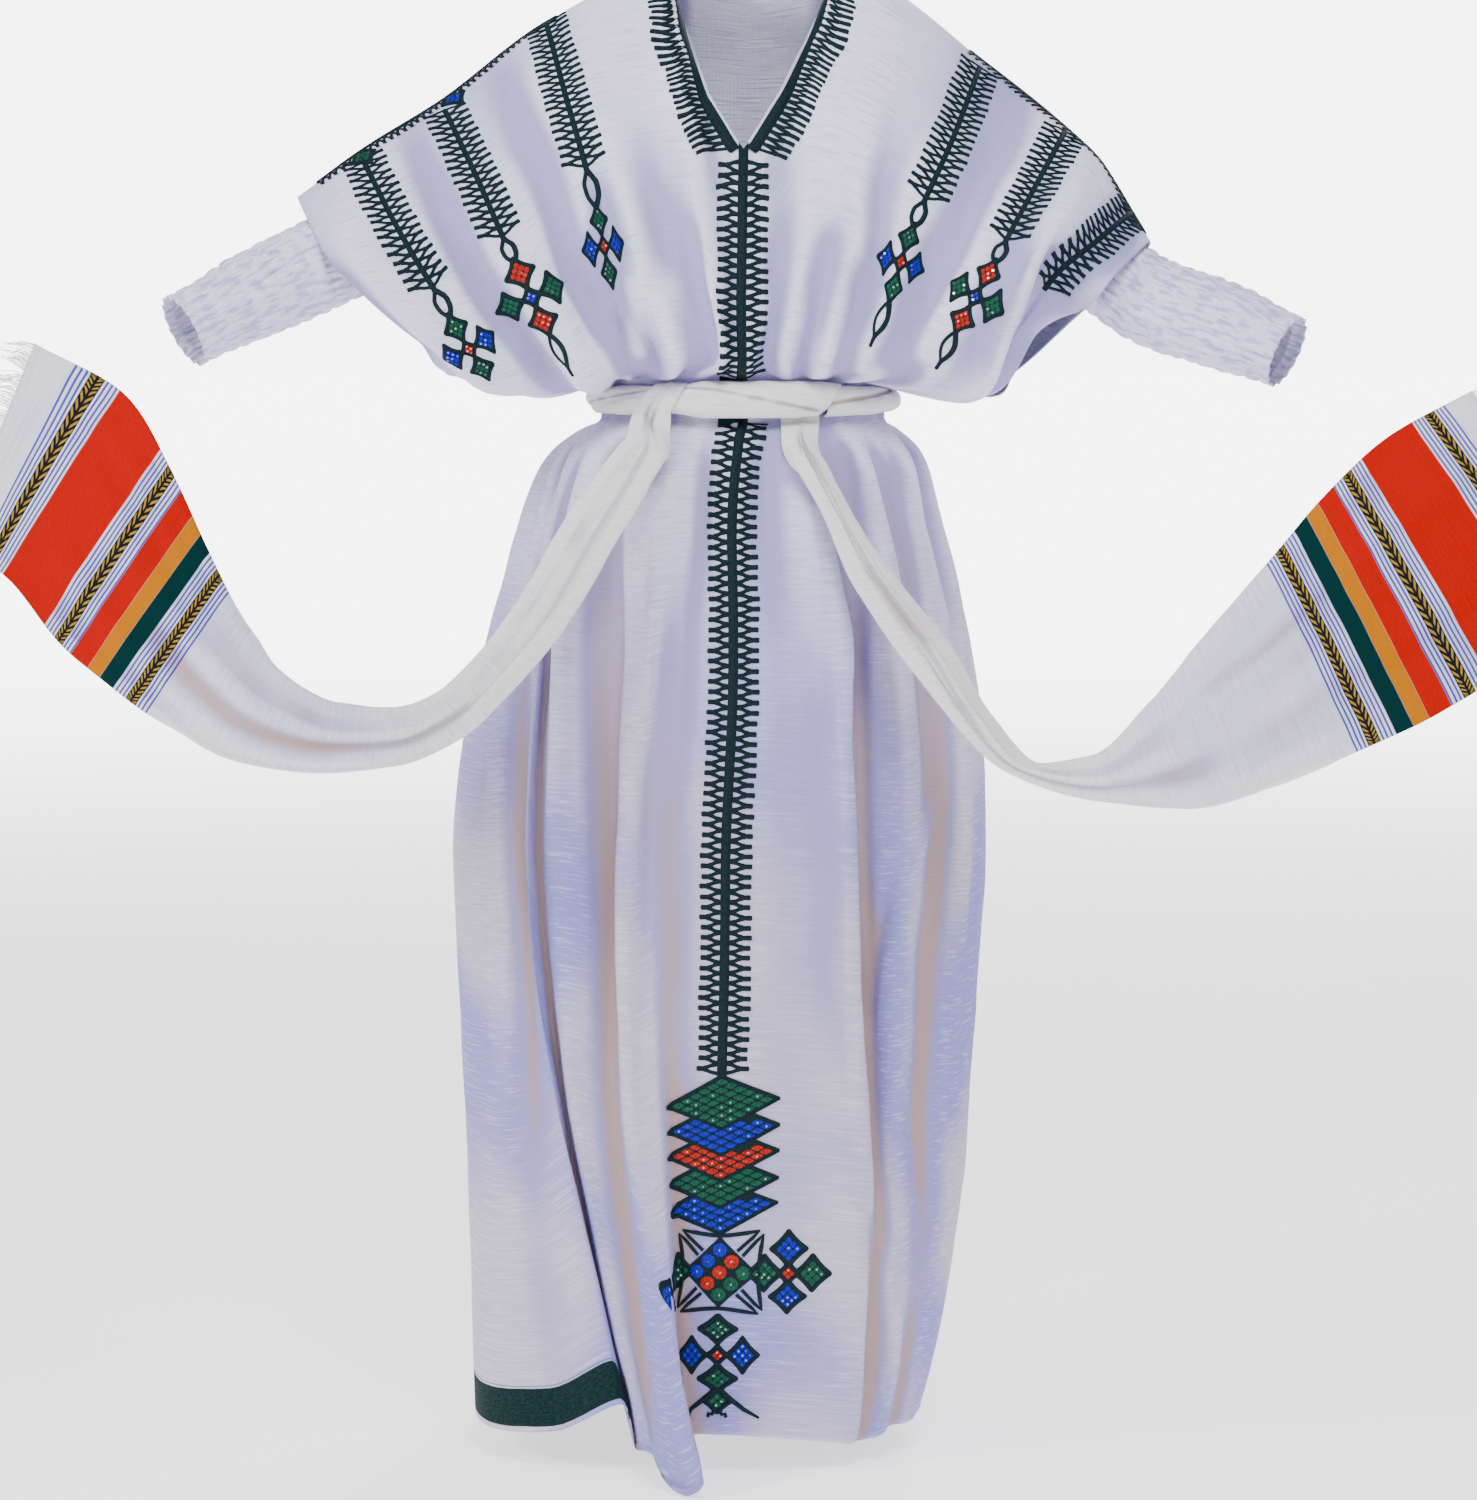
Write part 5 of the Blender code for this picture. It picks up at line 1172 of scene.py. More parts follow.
# %% the stitch designs
def ribs(work, place, start, end, reach, pitch, sides=(-1, 1), spine=0.0, lean=0.0, thick=0.0022):
    """Ribs across a band: a thick outer part forks into two legs, which meet their neighbours at the spine."""
    for side in sides:
        count = max(1, round((end - start) / pitch))
        step = (end - start) / count
        for k in range(count):
            y = start + (k + 0.5) * step + work.chance.normal(0, step * 0.03)
            far = spine + (reach - spine) * work.chance.uniform(0.94, 1.04)
            fork = spine + (far - spine) * work.chance.uniform(0.50, 0.60)
            slope = lean / (reach - spine)
            at = lambda x: y - slope * (x - spine)
            xs = np.array([far, far - thick * 0.5, (far + fork) / 2, fork - 0.001])
            work.ribbon(place, [(side * x, at(x)) for x in xs], np.array([0.75, 1.0, 0.96, 0.92]) * thick, 0.0012)
            for leg in (-1, 1):
                xs = (fork + 0.0015, fork - 0.0015, (fork + spine) / 2, spine - 0.0008)
                offs = (0.12, 0.16, 0.34, 0.47)
                work.ribbon(place, [(side * x, at(x) + leg * off * step) for x, off in zip(xs, offs)],
                            thick * 0.74, 0.0010, THIN)


def spine_band(work, place, start, end, half):
    """Straight line of chain stitch, flat where it is wide."""
    count = max(3, int((end - start) / 0.005))
    line = [(0.0, y) for y in np.linspace(start, end, count)]
    work.ribbon(place, line, half, 0.0012, FLAT if half > 0.004 else ROUND)


def loop(work, place, start, long, wide):
    """Lens of two bent lines, one of them thicker, between a band and what hangs from it."""
    bend = ((0.0, 0.0), (0.45, 0.16), (1.0, 0.38), (0.95, 0.62), (0.40, 0.86), (0.0, 1.0))
    line = through(np.arange(6) / 5, bend, np.linspace(0, 1, 13))
    for side, size in ((-1, 0.0020), (1, 0.0020 * 1.3)):
        work.ribbon(place, line * (side * wide, long) + (0, start), size, 0.0012)


def leaf(work, place, long, wide):
    """Leaf-shaped tail: a thin line and a thick one that meet and run on to a point."""
    t, thick = np.linspace(0, 1, 12), 0.0025
    bend = np.sin(math.pi * np.minimum(t / 0.78, 1.0))
    work.ribbon(place, np.stack([-wide * bend, long * t], -1), thick * (0.72 - 0.2 * t), 0.0011)
    work.ribbon(place, np.stack([wide * bend * 0.9, long * t], -1), thick * (1.05 - 0.35 * t**3), 0.0013)


print("bands and loops ready")


# %% quilted diamonds
def on_corner(a, b):
    """Points of a square, after it's turned to stand on its corner."""
    return np.stack([a - b, a + b], -1) * math.sqrt(0.5)


def lattice(cells, pitch):
    """Middles of a square of cells, row by row."""
    places = (np.arange(cells) - (cells - 1) / 2) * pitch
    return [(a, b) for a in places for b in places]


def square_points(half, count, hollow):
    """Grid over a square that stands on its corner, with sides that bend in a little."""
    a, b = np.meshgrid(np.linspace(-1, 1, count), np.linspace(-1, 1, count))
    pull = 1 - hollow * ((1 - a * a) * b * b + (1 - b * b) * a * a)
    return on_corner(a * pull * half, b * pull * half)


# corners of a cell, across and along
SOFT_SQUARE = np.array(((-1, -0.6), (-0.6, -1), (0.6, -1), (1, -0.6), (1, 0.6), (0.6, 1), (-0.6, 1), (-1, 0.6))).T


def diamond(work, place, x, y, half, colour, cells=3, hollow=0.15):
    """Quilted diamond: a dark ground with a thick outline, and domed cells of one colour in rows."""
    edge, sequins = 0.0023, 0.5  # half width of the outline, and how many of the cells have a sequin
    grid = square_points(half, 7, hollow) + (x, y)
    work.carpet(place, grid)
    for line in (grid[0], grid[:, -1], grid[-1, ::-1], grid[::-1, 0]):
        out = unit(line[0] - (x, y)) * half * 0.16, unit(line[-1] - (x, y)) * half * 0.16
        line = np.concatenate([[line[0] + out[0]], line, [line[-1] + out[1]]])
        work.ribbon(place, line, edge * np.array([0.3] + [1.0] * (len(line) - 2) + [0.3]), 0.0013, THIN)
    pitch = 2 * (half * 0.92 - edge) / cells
    size = pitch * 0.46
    across, along = SOFT_SQUARE * size
    for a, b in lattice(cells, pitch):
        middle = on_corner(a, b) + (x, y)
        work.dome(colour, place, on_corner(a + across, b + along) + (x, y), middle, 0.0006)
        if work.chance.uniform() < sequins:
            spot = middle + work.chance.normal(0, 0.0005, 2)
            work.sequin("sequins_" + colour, place, *spot, min(0.0012, size * 0.6))


def cluster(work, place, colours):
    """Five quilted diamonds: one small in the middle, and one beyond each of its corners."""
    gap, half = 0.0245, 0.0110
    top, right, middle, left, low = colours
    for dx, dy, colour in ((0, -1, top), (1, 0, right), (-1, 0, left), (0, 1, low)):
        diamond(work, place, dx * gap, dy * gap, half, colour)
    diamond(work, place, 0.0, 0.0, half * 0.66, middle, 2)


print("designs ready")

# %% [markdown]
# ### Bands of the sleeves
#
# Three bands come down from the shoulder seam on each side, in front and behind. Each ends in a twisted loop, a
# cluster of five diamonds and, on the inner ones, a leaf-shaped tail.

# %% tables of the sleeve bands
# across, then down: start and end of the ribs, cluster's middle; how narrow the cluster is, its colours
# (first, right, middle, left, last), whether a leaf follows, and whether it is worked in front
GREEN_FIRST, RED_FIRST = ("green", "blue", "red", "blue", "green"), ("red", "green", "blue", "green", "red")
SLEEVE_BANDS = (
    (-0.39, (0.012, 0.312), 0.510, 0.52, GREEN_FIRST, False, True),
    (-0.635, (0.035, 0.312), 0.506, 0.95, RED_FIRST, True, True),
    (-0.842, (0.025, 0.350), 0.590, 0.72, GREEN_FIRST, False, True),
    (0.395, (0.030, 0.296), 0.492, 0.62, GREEN_FIRST, True, True),
    (0.622, (0.025, 0.308), 0.520, 0.74, RED_FIRST, True, True),
    (0.850, (0.012, 0.430), 0.640, 0.80, GREEN_FIRST, False, False),
)
RIB_REACH, RIB_PITCH = 0.0215, 0.0086


def sleeve_band(work, across, ends, middle, wide, colours, tail, in_front):
    place = Strip(work.laid, [(across, ends[0]), (across, 0.90)])
    rib_end, centre = place.along(ends[1]), place.along(middle)
    wide = wide if work is work_front else 0.95
    spine_band(work, place, 0.0, rib_end + 0.004, 0.0028)
    ribs(work, place, 0.0, rib_end, RIB_REACH, RIB_PITCH, spine=0.0018, lean=0.004, thick=0.0021)
    if work is work_back or in_front:
        loop(work, place, rib_end + 0.003, max(centre - 0.038 - rib_end, 0.015), 0.0058)
        cluster(work, moved(place, 0.0, centre, 0.0, wide), colours)
        if tail:
            leaf(work, moved(place, 0.0, centre + 0.038, 6.0 * np.sign(across)), 0.046, 0.0060)


def shoulder_line(work, sign):
    """Short ribs along the shoulder seam; diamonds at the top of the two outer bands of the wearer's right."""
    path = [(sign * u, 0.0045) for u in (0.37, 0.50, 0.62, 0.80, 0.95)]
    place = Strip(work.laid, path if sign > 0 else path[::-1], 0.03)
    side = place.low_side()
    spine_band(work, place, 0.0, place.long, 0.0018)
    ribs(work, place, 0.0, place.long, 0.0135, 0.0080, sides=(side,), spine=0.001, lean=0.003, thick=0.0020)
    if (sign < 0) == (work is work_front):
        for across, colour in ((0.62, "blue"), (0.85, "green")):
            there = np.interp(sign * across, place.u[:, len(place.x) // 2], place.y)
            diamond(work, place, side * 0.013, there, 0.0095, colour)


print(len(SLEEVE_BANDS), "bands on each panel")


# %% work the sleeves
work_front, work_back = Embroidery(FRONT, 17), Embroidery(BACK, 19)
for work in (work_front, work_back):
    for band in SLEEVE_BANDS:
        sleeve_band(work, *band)
    for sign in (-1, 1):
        shoulder_line(work, sign)
print(work_front.count(), "stitches and sequins in front,", work_back.count(), "behind")

# %% [markdown]
# ### Neck and middle band
#
# A flat band of chain stitch follows the neck edge with ribs on its outer side, and the same band with ribs on
# both sides runs down the middle of the front, passing under the sash.

# %% neck and middle band
def neck_band(work, path, long_ribs, lean):
    place = Strip(work.laid, path, 0.06)
    side = place.low_side()
    spine_band(work, moved(place, side * 0.0075, 0.0), 0.0, place.long, 0.0056)
    ribs(work, place, 0.002, place.long - 0.010, long_ribs, 0.0068, sides=(side,), spine=0.0122, lean=lean,
         thick=0.0021)


neck_path = [(u, 0.003) for u in np.linspace(0.168, 0.0, 8)]
neck_band(work_front, neck_path, 0.0415, 0.002)
neck_band(work_front, [(-u, v) for u, v in neck_path], 0.0415, 0.009)
neck_band(work_back, [(u, 0.003) for u in np.linspace(-0.165, 0.165, 12)], 0.0400, 0.0)
MIDDLE = (((0.0005, 0.0), (-0.003, 0.30), (-0.0045, 0.62), (-0.004, 0.978)),
          ((0.001, 0.990), (0.001, 1.17), (-0.0016, 1.366), (-0.003, 1.564), (-0.005, 1.640)))
for k, path in enumerate(MIDDLE):
    place = Strip(FRONT, path, 0.032, 240)
    spine_band(work_front, place, 0.0, place.long, 0.0047)
    ribs(work_front, place, 0.003 if k else 0.016, place.long - 0.002, 0.0250, 0.0097, spine=0.0042, thick=0.0025)
print(work_front.count(), "stitches and sequins in front,", work_back.count(), "behind")

# %% [markdown]
# ### The piece above the hem
#
# Five quilted lozenges overlap like tiles. Below them a knotted square holds a diamond of nine round cells, with
# a cluster on each side, and a cross of four diamonds stands on curved feet.

# %% lozenges
def lozenge(work, place, y, colour, above, lift):
    """Wide lozenge of cells; the one above covers its upper part."""
    half_wide, half_high, cells = 0.0550, 0.0262, 6
    a, b = np.meshgrid(np.linspace(-1, 1, 13), np.linspace(-1, 1, 13))
    put = lambda p, q: np.stack([(p - q) / 2 * half_wide, y + (p + q) / 2 * half_high - (p - q) / 2 * 0.0045], -1)
    work.carpet(place, put(a, b), lift)
    ends = np.array(((-1, -1), (1, -1), (1, 1), (-1, 1), (-1, -1)), float)
    for start, end in zip(ends, ends[1:]):
        t = np.linspace(0, 1, 9)[:, None]
        line = start + (end - start) * t
        work.ribbon(place, put(line[:, 0], line[:, 1]), 0.0015, 0.0012, THIN, lift - 0.0003)
    pitch = 2.0 * 0.92 / cells
    across, along = SOFT_SQUARE * pitch * 0.42
    for p, q in lattice(cells, pitch):
        middle = put(p, q)
        if above is not None and abs(middle[0]) / half_wide + abs(middle[1] - above) / half_high < 1.06:
            continue
        work.dome(colour, place, put(p + across, q + along), middle, 0.0006, lift + 0.0003)
        if work.chance.uniform() < 0.4:
            work.sequin("sequins_" + colour, place, *middle, 0.0011, lift + 0.0013)


STACK = ((0.0255, "green"), (0.0510, "blue"), (0.0755, "red"), (0.1020, "green"), (0.1275, "blue"))
hem_line = ((-0.0050, 1.630), (-0.0060, 1.6905), (-0.0110, 1.767), (-0.0110, 1.840), (-0.0135, 1.925),
            (-0.0140, 1.995))
hem_place = Strip(FRONT, hem_line, 0.125, 200)
place = moved(hem_place, 0.0, hem_place.along(1.6405))
for k, (y, colour) in enumerate(STACK):
    lozenge(work_front, place, y, colour, STACK[k - 1][0] if k else None, 0.0014 - 0.0002 * k)
print(work_front.count(), "stitches and sequins in front")

# %% star, side clusters and cross
star = moved(hem_place, 0.0, hem_place.along(1.8392))
work_front.carpet(star, square_points(0.0255, 9, 0.02))
turns = np.arange(10) * 2 * math.pi / 10
outline = 0.0070 * np.stack([np.cos(turns), np.sin(turns)], -1)
for k, (row, column) in enumerate(lattice(3, 0.0158)):  # rows run from the upper right to the lower left
    colour, middle = ("blue", "red", "green")[k // 3], on_corner(row, column)
    work_front.dome(colour, star, middle + outline, middle, 0.0010)
    work_front.sequin("sequins_" + colour, star, *middle)
for turn in (0, 90, 180, 270):
    turned = moved(star, 0.0, 0.0, turn)
    arch = [(x, -0.0365 - 0.0050 * (abs(x) / 0.038) ** 1.6) for x in np.linspace(-0.038, 0.038, 13)]
    work_front.ribbon(turned, arch, np.r_[0.0007, 0.0016, [0.0021] * 9, 0.0016, 0.0007], 0.0012, base=0.0006)
    for sign in (-1, 1):
        bar = [(sign * 0.0375, -0.0412), (sign * 0.031, -0.0345), (sign * 0.0165, -0.0215)]
        work_front.ribbon(turned, bar, (0.0008, 0.0018, 0.0018), 0.0012, base=0.0006)
for sign, shown in ((-1, 2), (1, 4)):
    beside = moved(star, sign * 0.0655, 0.0)
    for dx, dy, colour in ((-sign, 0, "green"), (0, 1, "blue"), (0, -1, "blue"), (sign, 0, "green"))[:shown]:
        diamond(work_front, beside, dx * 0.0230, dy * 0.0232, 0.0120, colour, hollow=0.10)
    if sign > 0:
        diamond(work_front, beside, 0.0, 0.0, 0.0075, "red", 2)
cross = moved(hem_place, 0.0, hem_place.along(1.9254))
for x, y, half, wide, colour in ((0, -0.0260, 0.0100, 1.25, "green"), (-0.0250, 0, 0.0125, 0.85, "blue"),
                                 (0.0235, 0, 0.0125, 0.85, "blue"), (0, 0.0235, 0.0100, 1.25, "green"),
                                 (0, 0.0455, 0.0088, 1.1, "green"), (0, 0, 0.0068, 1.0, "red")):
    cells = 2 if half < 0.01 else 3
    diamond(work_front, moved(cross, x, y, 0.0, wide), 0.0, 0.0, half, colour, cells, hollow=0.10)
for sign in (-1, 1):
    feeler = np.array(((0.002, 0.034), (0.012, 0.0435), (0.0255, 0.0545), (0.0395, 0.0625)))
    work_front.ribbon(cross, feeler * (sign, 1), (0.0026, 0.0025, 0.0021, 0.0012), 0.0012, base=0.0006)
    foot = np.array(((0.002, 0.055), (0.0050, 0.0595), (0.0078, 0.0585), (0.0085, 0.0620)))
    work_front.ribbon(cross, foot * (sign, 1), 0.0018, 0.0011, base=0.0006)
print(work_front.count(), "stitches and sequins in front")

# %% thread and sequin finishes
THREAD = {"thread": (0.0001, 0.013, 0.017), "green": (0.001, 0.080, 0.040), "blue": (0.002, 0.008, 0.38),
          "red": (0.42, 0.012, 0.002)}


def thread_finish(name, tint):
    """Twisted cotton thread: rows of chain along the stitch, a twist across it, and a faint sheen."""
    finish = Finish(name + " embroidery", Roughness=0.62, Specular_IOR_Level=0.16)
    x, y = finish.flat()
    twist = (y * 5200.0 + x * 2400.0).sine() * 0.5 + 0.5
    row = (x * 2600.0).sine() * 0.5 + 0.5
    tone = finish.noise(700.0, 300.0, 2.0, 0.6)
    light = tuple(min(1.0, c * 1.9 + 0.004) for c in tint)
    dark = tuple(c * 0.55 for c in tint)
    colour = finish.mix(tone.step(0.3, 0.75) * 0.7, dark, light)
    colour = finish.mix(twist * 0.25, colour, tint)
    finish.feed(Base_Color=colour)
    finish.bump(twist * 0.6 + row * 0.4, 0.0004)
    return finish


def sequin_finish(name, tint):
    finish = Finish(name, Metallic=0.85, Roughness=0.16)
    tone = finish.noise(900.0, 900.0, 0.0)
    finish.feed(Base_Color=finish.mix(tone, tuple(min(1.0, c * 1.6 + 0.10) for c in tint),
                                      tuple(min(1.0, c * 0.8 + 0.25) for c in tint)))
    return finish


finishes = {kind: thread_finish(kind, tint) for kind, tint in THREAD.items()}
for kind in ("green", "blue", "red"):
    finishes["sequins_" + kind] = sequin_finish("sequins " + kind, THREAD[kind])
stitched_front = work_front.pieces("front", "front_cotton", finishes)
stitched_back = work_back.pieces("back", "back_cotton", finishes)

# %% [markdown]
# ## The shirred sleeves
#
# Rows of elastic thread are sewn round a sleeve of thin cotton, about fifteen millimetres apart. Each row pulls
# the cloth in, so it puffs out between rows and breaks into fine puckers that run along the arm. Modelling the
# tube ring by ring gives both at once: a scallop along the arm, and small waves round it that change at each row.

# %% measures of the sleeves
SLEEVES = (
    ("sleeve_shirred_right", (
        (-220, -36, -128, 36), (-275, -70, -178, 36), (-345, -112, -229, 37.5), (-379, -130, -250, 38.9),
        (-450, -166, -286, 36.5), (-500, -194, -313, 31), (-512.5, -201, -320, 31))),
    ("sleeve_shirred_left", (
        (228, -34, -145, 35), (280, -70, -208, 35), (340, -113, -266, 36.2), (378, -131, -292, 37.5),
        (437, -166, -314, 36.5), (482, -194, -333, 31), (494.5, -201, -339, 30))),
)


def arm_frame(rows, count):
    """Points, radii and two cross directions along an arm."""
    table = np.array(rows) / MM
    length = travelled(table[:, :3])
    at = np.linspace(0, length[-1], count)
    read = through(length, table, at)
    middle, radius = read[:, :3], read[:, 3]
    way = unit(np.gradient(middle, at, axis=0))
    up = unit(UP - way * way[:, 2:3])
    return middle, radius, up, np.cross(way, up), at


SHIRR_PITCH, SHIRR_PUFF = 0.0165, 0.0020  # from one elastic row to the next, and how far the cloth puffs out
PUCKER, PUCKER_PITCH = 0.0016, 0.0080  # height of a pucker, and from one to the next
ARM_RADIUS = 0.037  # of a sleeve, for its flat width


print("sleeve lengths", [round(float(travelled(np.array(rows)[:, :3])[-1])) for _, rows in SLEEVES], "mm")


# %% shirred cotton
def shirred_finish(name):
    finish = Finish(name, Roughness=0.88, Sheen_Weight=0.04, Sheen_Roughness=0.5, Specular_IOR_Level=0.2)
    height, slub = woven(finish, 1.3)
    crimp_and_shade = finish.noise(230.0, 52.0, 1.5, 0.5, 6.0)
    depth = finish.stored("depth")
    colour = finish.mix(slub.step(0.45, 0.75) * 0.35, (0.78, 0.79, 0.96), (0.90, 0.91, 1.0))
    # painted shade: the hollows of the puckers are painted lilac, and the cloth that lies low darker lilac
    colour = finish.mix(crimp_and_shade.step(0.54, 0.34) * 0.72, colour, (0.40, 0.39, 0.70))
    colour = finish.mix(depth.step(0.20, 0.9) * 0.85, colour, (0.34, 0.33, 0.62))
    finish.feed(Base_Color=colour)
    finish.bump(crimp_and_shade + height * 0.15, 0.0034)
    return finish


def shirred_sleeve(name, rows, node, seed):
    """A tube of puckered cotton: each elastic row has waves of its own, and the cloth between blends them."""
    around, count = 144, 200
    middle, radius, up, cross, at = arm_frame(rows, count)
    chance = np.random.default_rng(seed)
    turn = np.linspace(0, 2 * math.pi, around, endpoint=False)
    rise = at / SHIRR_PITCH
    row = np.floor(rise).astype(int)
    puff = np.abs(np.sin(math.pi * rise)) ** 0.55
    waves = round(2 * math.pi * ARM_RADIUS / PUCKER_PITCH)
    phases = chance.uniform(0, 2 * math.pi, (row.max() + 2, 4))
    sizes = chance.uniform(0.5, 1.2, (row.max() + 2, 3))
    blend = smooth(0.0, 1.0, rise - row)[:, None]
    height = np.zeros((count, around))
    for k, (times, share) in enumerate(((1.0, 0.55), (0.62, 0.5), (1.61, 0.3))):
        n = round(waves * times)
        here = np.cos(n * turn[None, :] + phases[row, k][:, None]) * sizes[row, k % 3][:, None]
        after = np.cos(n * turn[None, :] + phases[row + 1, k][:, None]) * sizes[row + 1, k % 3][:, None]
        height += share * (here * (1 - blend) + after * blend)
    start = phases[row, 3][:, None] * (1 - blend) + phases[row + 1, 3][:, None] * blend
    swell = 0.35 * np.cos(3 * turn[None, :] + start)
    cuff = smooth(at[-1] - 0.007, at[-1], at)[:, None]
    out = 0.0006 + SHIRR_PUFF * puff[:, None] * (1 + swell * 0.5) * (1 - cuff)
    out = out + PUCKER * height * (0.35 + 0.75 * puff[:, None]) * (1 - cuff)
    out = out + cuff * (0.0016 + 0.0016 * np.cos(round(waves * 0.55) * turn)[None, :])
    way = up[:, None] * np.cos(turn)[None, :, None] + cross[:, None] * np.sin(turn)[None, :, None]
    outer = middle[:, None] + way * (radius[:, None, None] + 0.0010 + out[..., None])
    inner = outer - way * 0.0010
    flat = np.stack(np.meshgrid(np.append(turn, 2 * math.pi) * ARM_RADIUS, at), -1)
    # how low the cloth lies, at the elastic rows and between puckers, which the shirred cotton paints as shade
    depth = np.clip((0.0012 - out) / 0.0022, 0, 1)
    finish = shirred_finish(name + " cotton")
    return shell(name, outer, inner, flat, finish, "shirred_cotton", node, closed=True, depth=depth)


shirred = [shirred_sleeve("shirred_" + side, rows, name, seed)
           for (name, rows), side, seed in zip(SLEEVES, ("right", "left"), (3, 4))]

# %% [markdown]
# ## The sash
#
# The sash is one long strip of the same cotton. At the waist it is rolled into a soft rope with its folds
# winding round it, it crosses itself at the front, and its two ends run out to the sides, where its woven
# borders open up flat. The rope is a lofted strip that follows the belt line, with the folds as sharp valleys.

# %% sash measures
RIGHT_TAIL = (
    ("off the belt", (-113, -142, -413), (-70, -148, -419), 10, 3, 70),
    ("upper thigh", (-142, -160, -455), (-90, -166, -464), 20, 3, 160),
    ("thigh", (-179, -170, -512), (-126, -174, -525), 22, 4, 180),
    ("over the skirt", (-213, -182, -571), (-165, -186, -590), 22, 5, 180),
    ("skirt edge", (-252, -198, -620), (-210, -202, -644), 22, 6, 180),
    ("leaving", (-286, -216, -650), (-258, -216, -690), 22, 6, 180),
    ("lowest", (-321, -236, -662), (-321, -231, -717), 20, 7, 175),
    ("rising", (-369, -252, -656), (-389, -246, -722), 16, 9, 150),
    ("opening", (-417, -262, -629), (-459, -256, -712), 12, 11, 115),
    ("open", (-456, -268, -576), (-525, -262, -679), 7, 12, 70),
    ("borders", (-486, -270, -511), (-578, -268, -637), 4, 10, 30),
    ("red border", (-514, -270, -446), (-619, -270, -600), 3, 8, 12),
    ("held", (-556, -262, -377), (-664, -272, -541), 3, 5, 5),
    ("end", (-638, -255, -331), (-709, -275, -508), 3, 0, 3),
)
LEFT_TAIL = (
    ("off the belt", (68, -130, -416), (34, -133, -418), 6, 1, 40),
    ("upper thigh", (87, -149, -460), (53, -151, -453), 14, 3, 130),
    ("thigh", (111, -159, -505), (74, -162, -491), 20, 4, 180),
    ("over the skirt", (142, -168, -548), (94, -173, -541), 24, 4, 180),
    ("skirt edge", (171, -180, -583), (119, -186, -582), 24, 5, 180),
    ("leaving", (192, -193, -610), (146, -198, -620), 24, 6, 180),
    ("outside", (226, -215, -668), (180, -211, -664), 22, 6, 180),
    ("lowest", (271, -238, -712), (240, -230, -724), 20, 6, 180),
    ("rising", (316, -253, -704), (322, -246, -748), 18, 8, 170),
    ("opening", (366, -263, -654), (403, -256, -753), 12, 11, 130),
    ("open", (419, -271, -589), (479, -263, -734), 6, 12, 80),
    ("plain", (470, -273, -527), (556, -267, -699), 4, 11, 40),
    ("borders", (521, -273, -465), (630, -269, -662), 3, 9, 15),
    ("red border", (573, -269, -416), (700, -271, -615), 3, 7, 5),
    ("end", (651, -263, -373), (780, -273, -536), 3, 0, 3),
)
# where each tail leaves the belt: turns of its two edges, bow, and lift
RIGHT_START = ((58.0, 71.0, 78.0, 0.0060), (56.0, 70.0, 38.0, 0.0054), (53.0, 68.0, 0.0, 0.0064),
               (50.0, 66.0, -38.0, 0.0110))
LEFT_START = ((117.5, 102.0, -0.0085, 0.0038), (117.5, 102.0, -0.0190, 0.0052))
TAIL_ROLL = 0.0042  # radius of a turned sash edge


print(len(RIGHT_TAIL), "and", len(LEFT_TAIL), "places along the two tails")


# %% where the tails leave the belt
def belt_point(turn, side, bow, lift):
    """Point of the rolled belt: bow runs from -90 under it to 90 on top, lift is how far outside it lies."""
    turn, bow = np.asarray(turn, float), np.asarray(bow, float)
    half = groove(turn, side) - 0.0075 + np.minimum(lift, 0.0065)
    angle = np.radians(bow)
    flat = np.full(np.shape(turn), WAIST_Z)
    out = 0.0034 + (0.0095 + lift) * np.cos(angle)
    height = half * np.sin(angle)
    return ring(turn, flat, side) + ring_out(turn, flat, side) * out[..., None] + UP * height[..., None]


def right_start():
    """Over the belt from its top, outside the knot."""
    found = []
    for upper, lower, bow, lift in RIGHT_START:
        found.append([*belt_point(upper, -1, bow, lift), *belt_point(lower, -1, bow, lift), 0.004, 0.001, 6])
    return found


def left_start():
    """From behind the lower edge of the knot."""
    found = []
    for upper, lower, drop, out in LEFT_START:
        edges = []
        for turn in (upper, lower):
            level = np.array(WAIST_Z)
            point = ring(np.array(turn), level, -1) + ring_out(np.array(turn), level, -1) * out
            edges.append(point + UP * drop)
        found.append([*edges[0], *edges[1], 0.003, 0.0005, 6])
    return found


print("the right tail starts at", [round(float(x), 3) for x in right_start()[0][:3]])


# %% sash cotton with its woven borders
RED, GOLD, TEAL = (0.46, 0.002, 0.001), (0.50, 0.155, 0.0003), (0.0004, 0.026, 0.026)
BLUE_LINE, BRAID_GOLD, BRAID_DARK = (0.008, 0.014, 0.34), (0.36, 0.24, 0.025), (0.010, 0.008, 0.016)
SASH_WHITE, SASH_SHADE = (0.78, 0.77, 0.89), (0.62, 0.61, 0.81)
SASH_CREAM = (0.88, 0.83, 0.78)
BORDERS = (0.0485, 0.1505, 0.2415)  # middles of the three woven borders, metres from the end
STRIPES = ((0.068, 0.1305, RED), (0.168, 0.1895, RED), (0.1895, 0.205, GOLD), (0.205, 0.2215, TEAL))


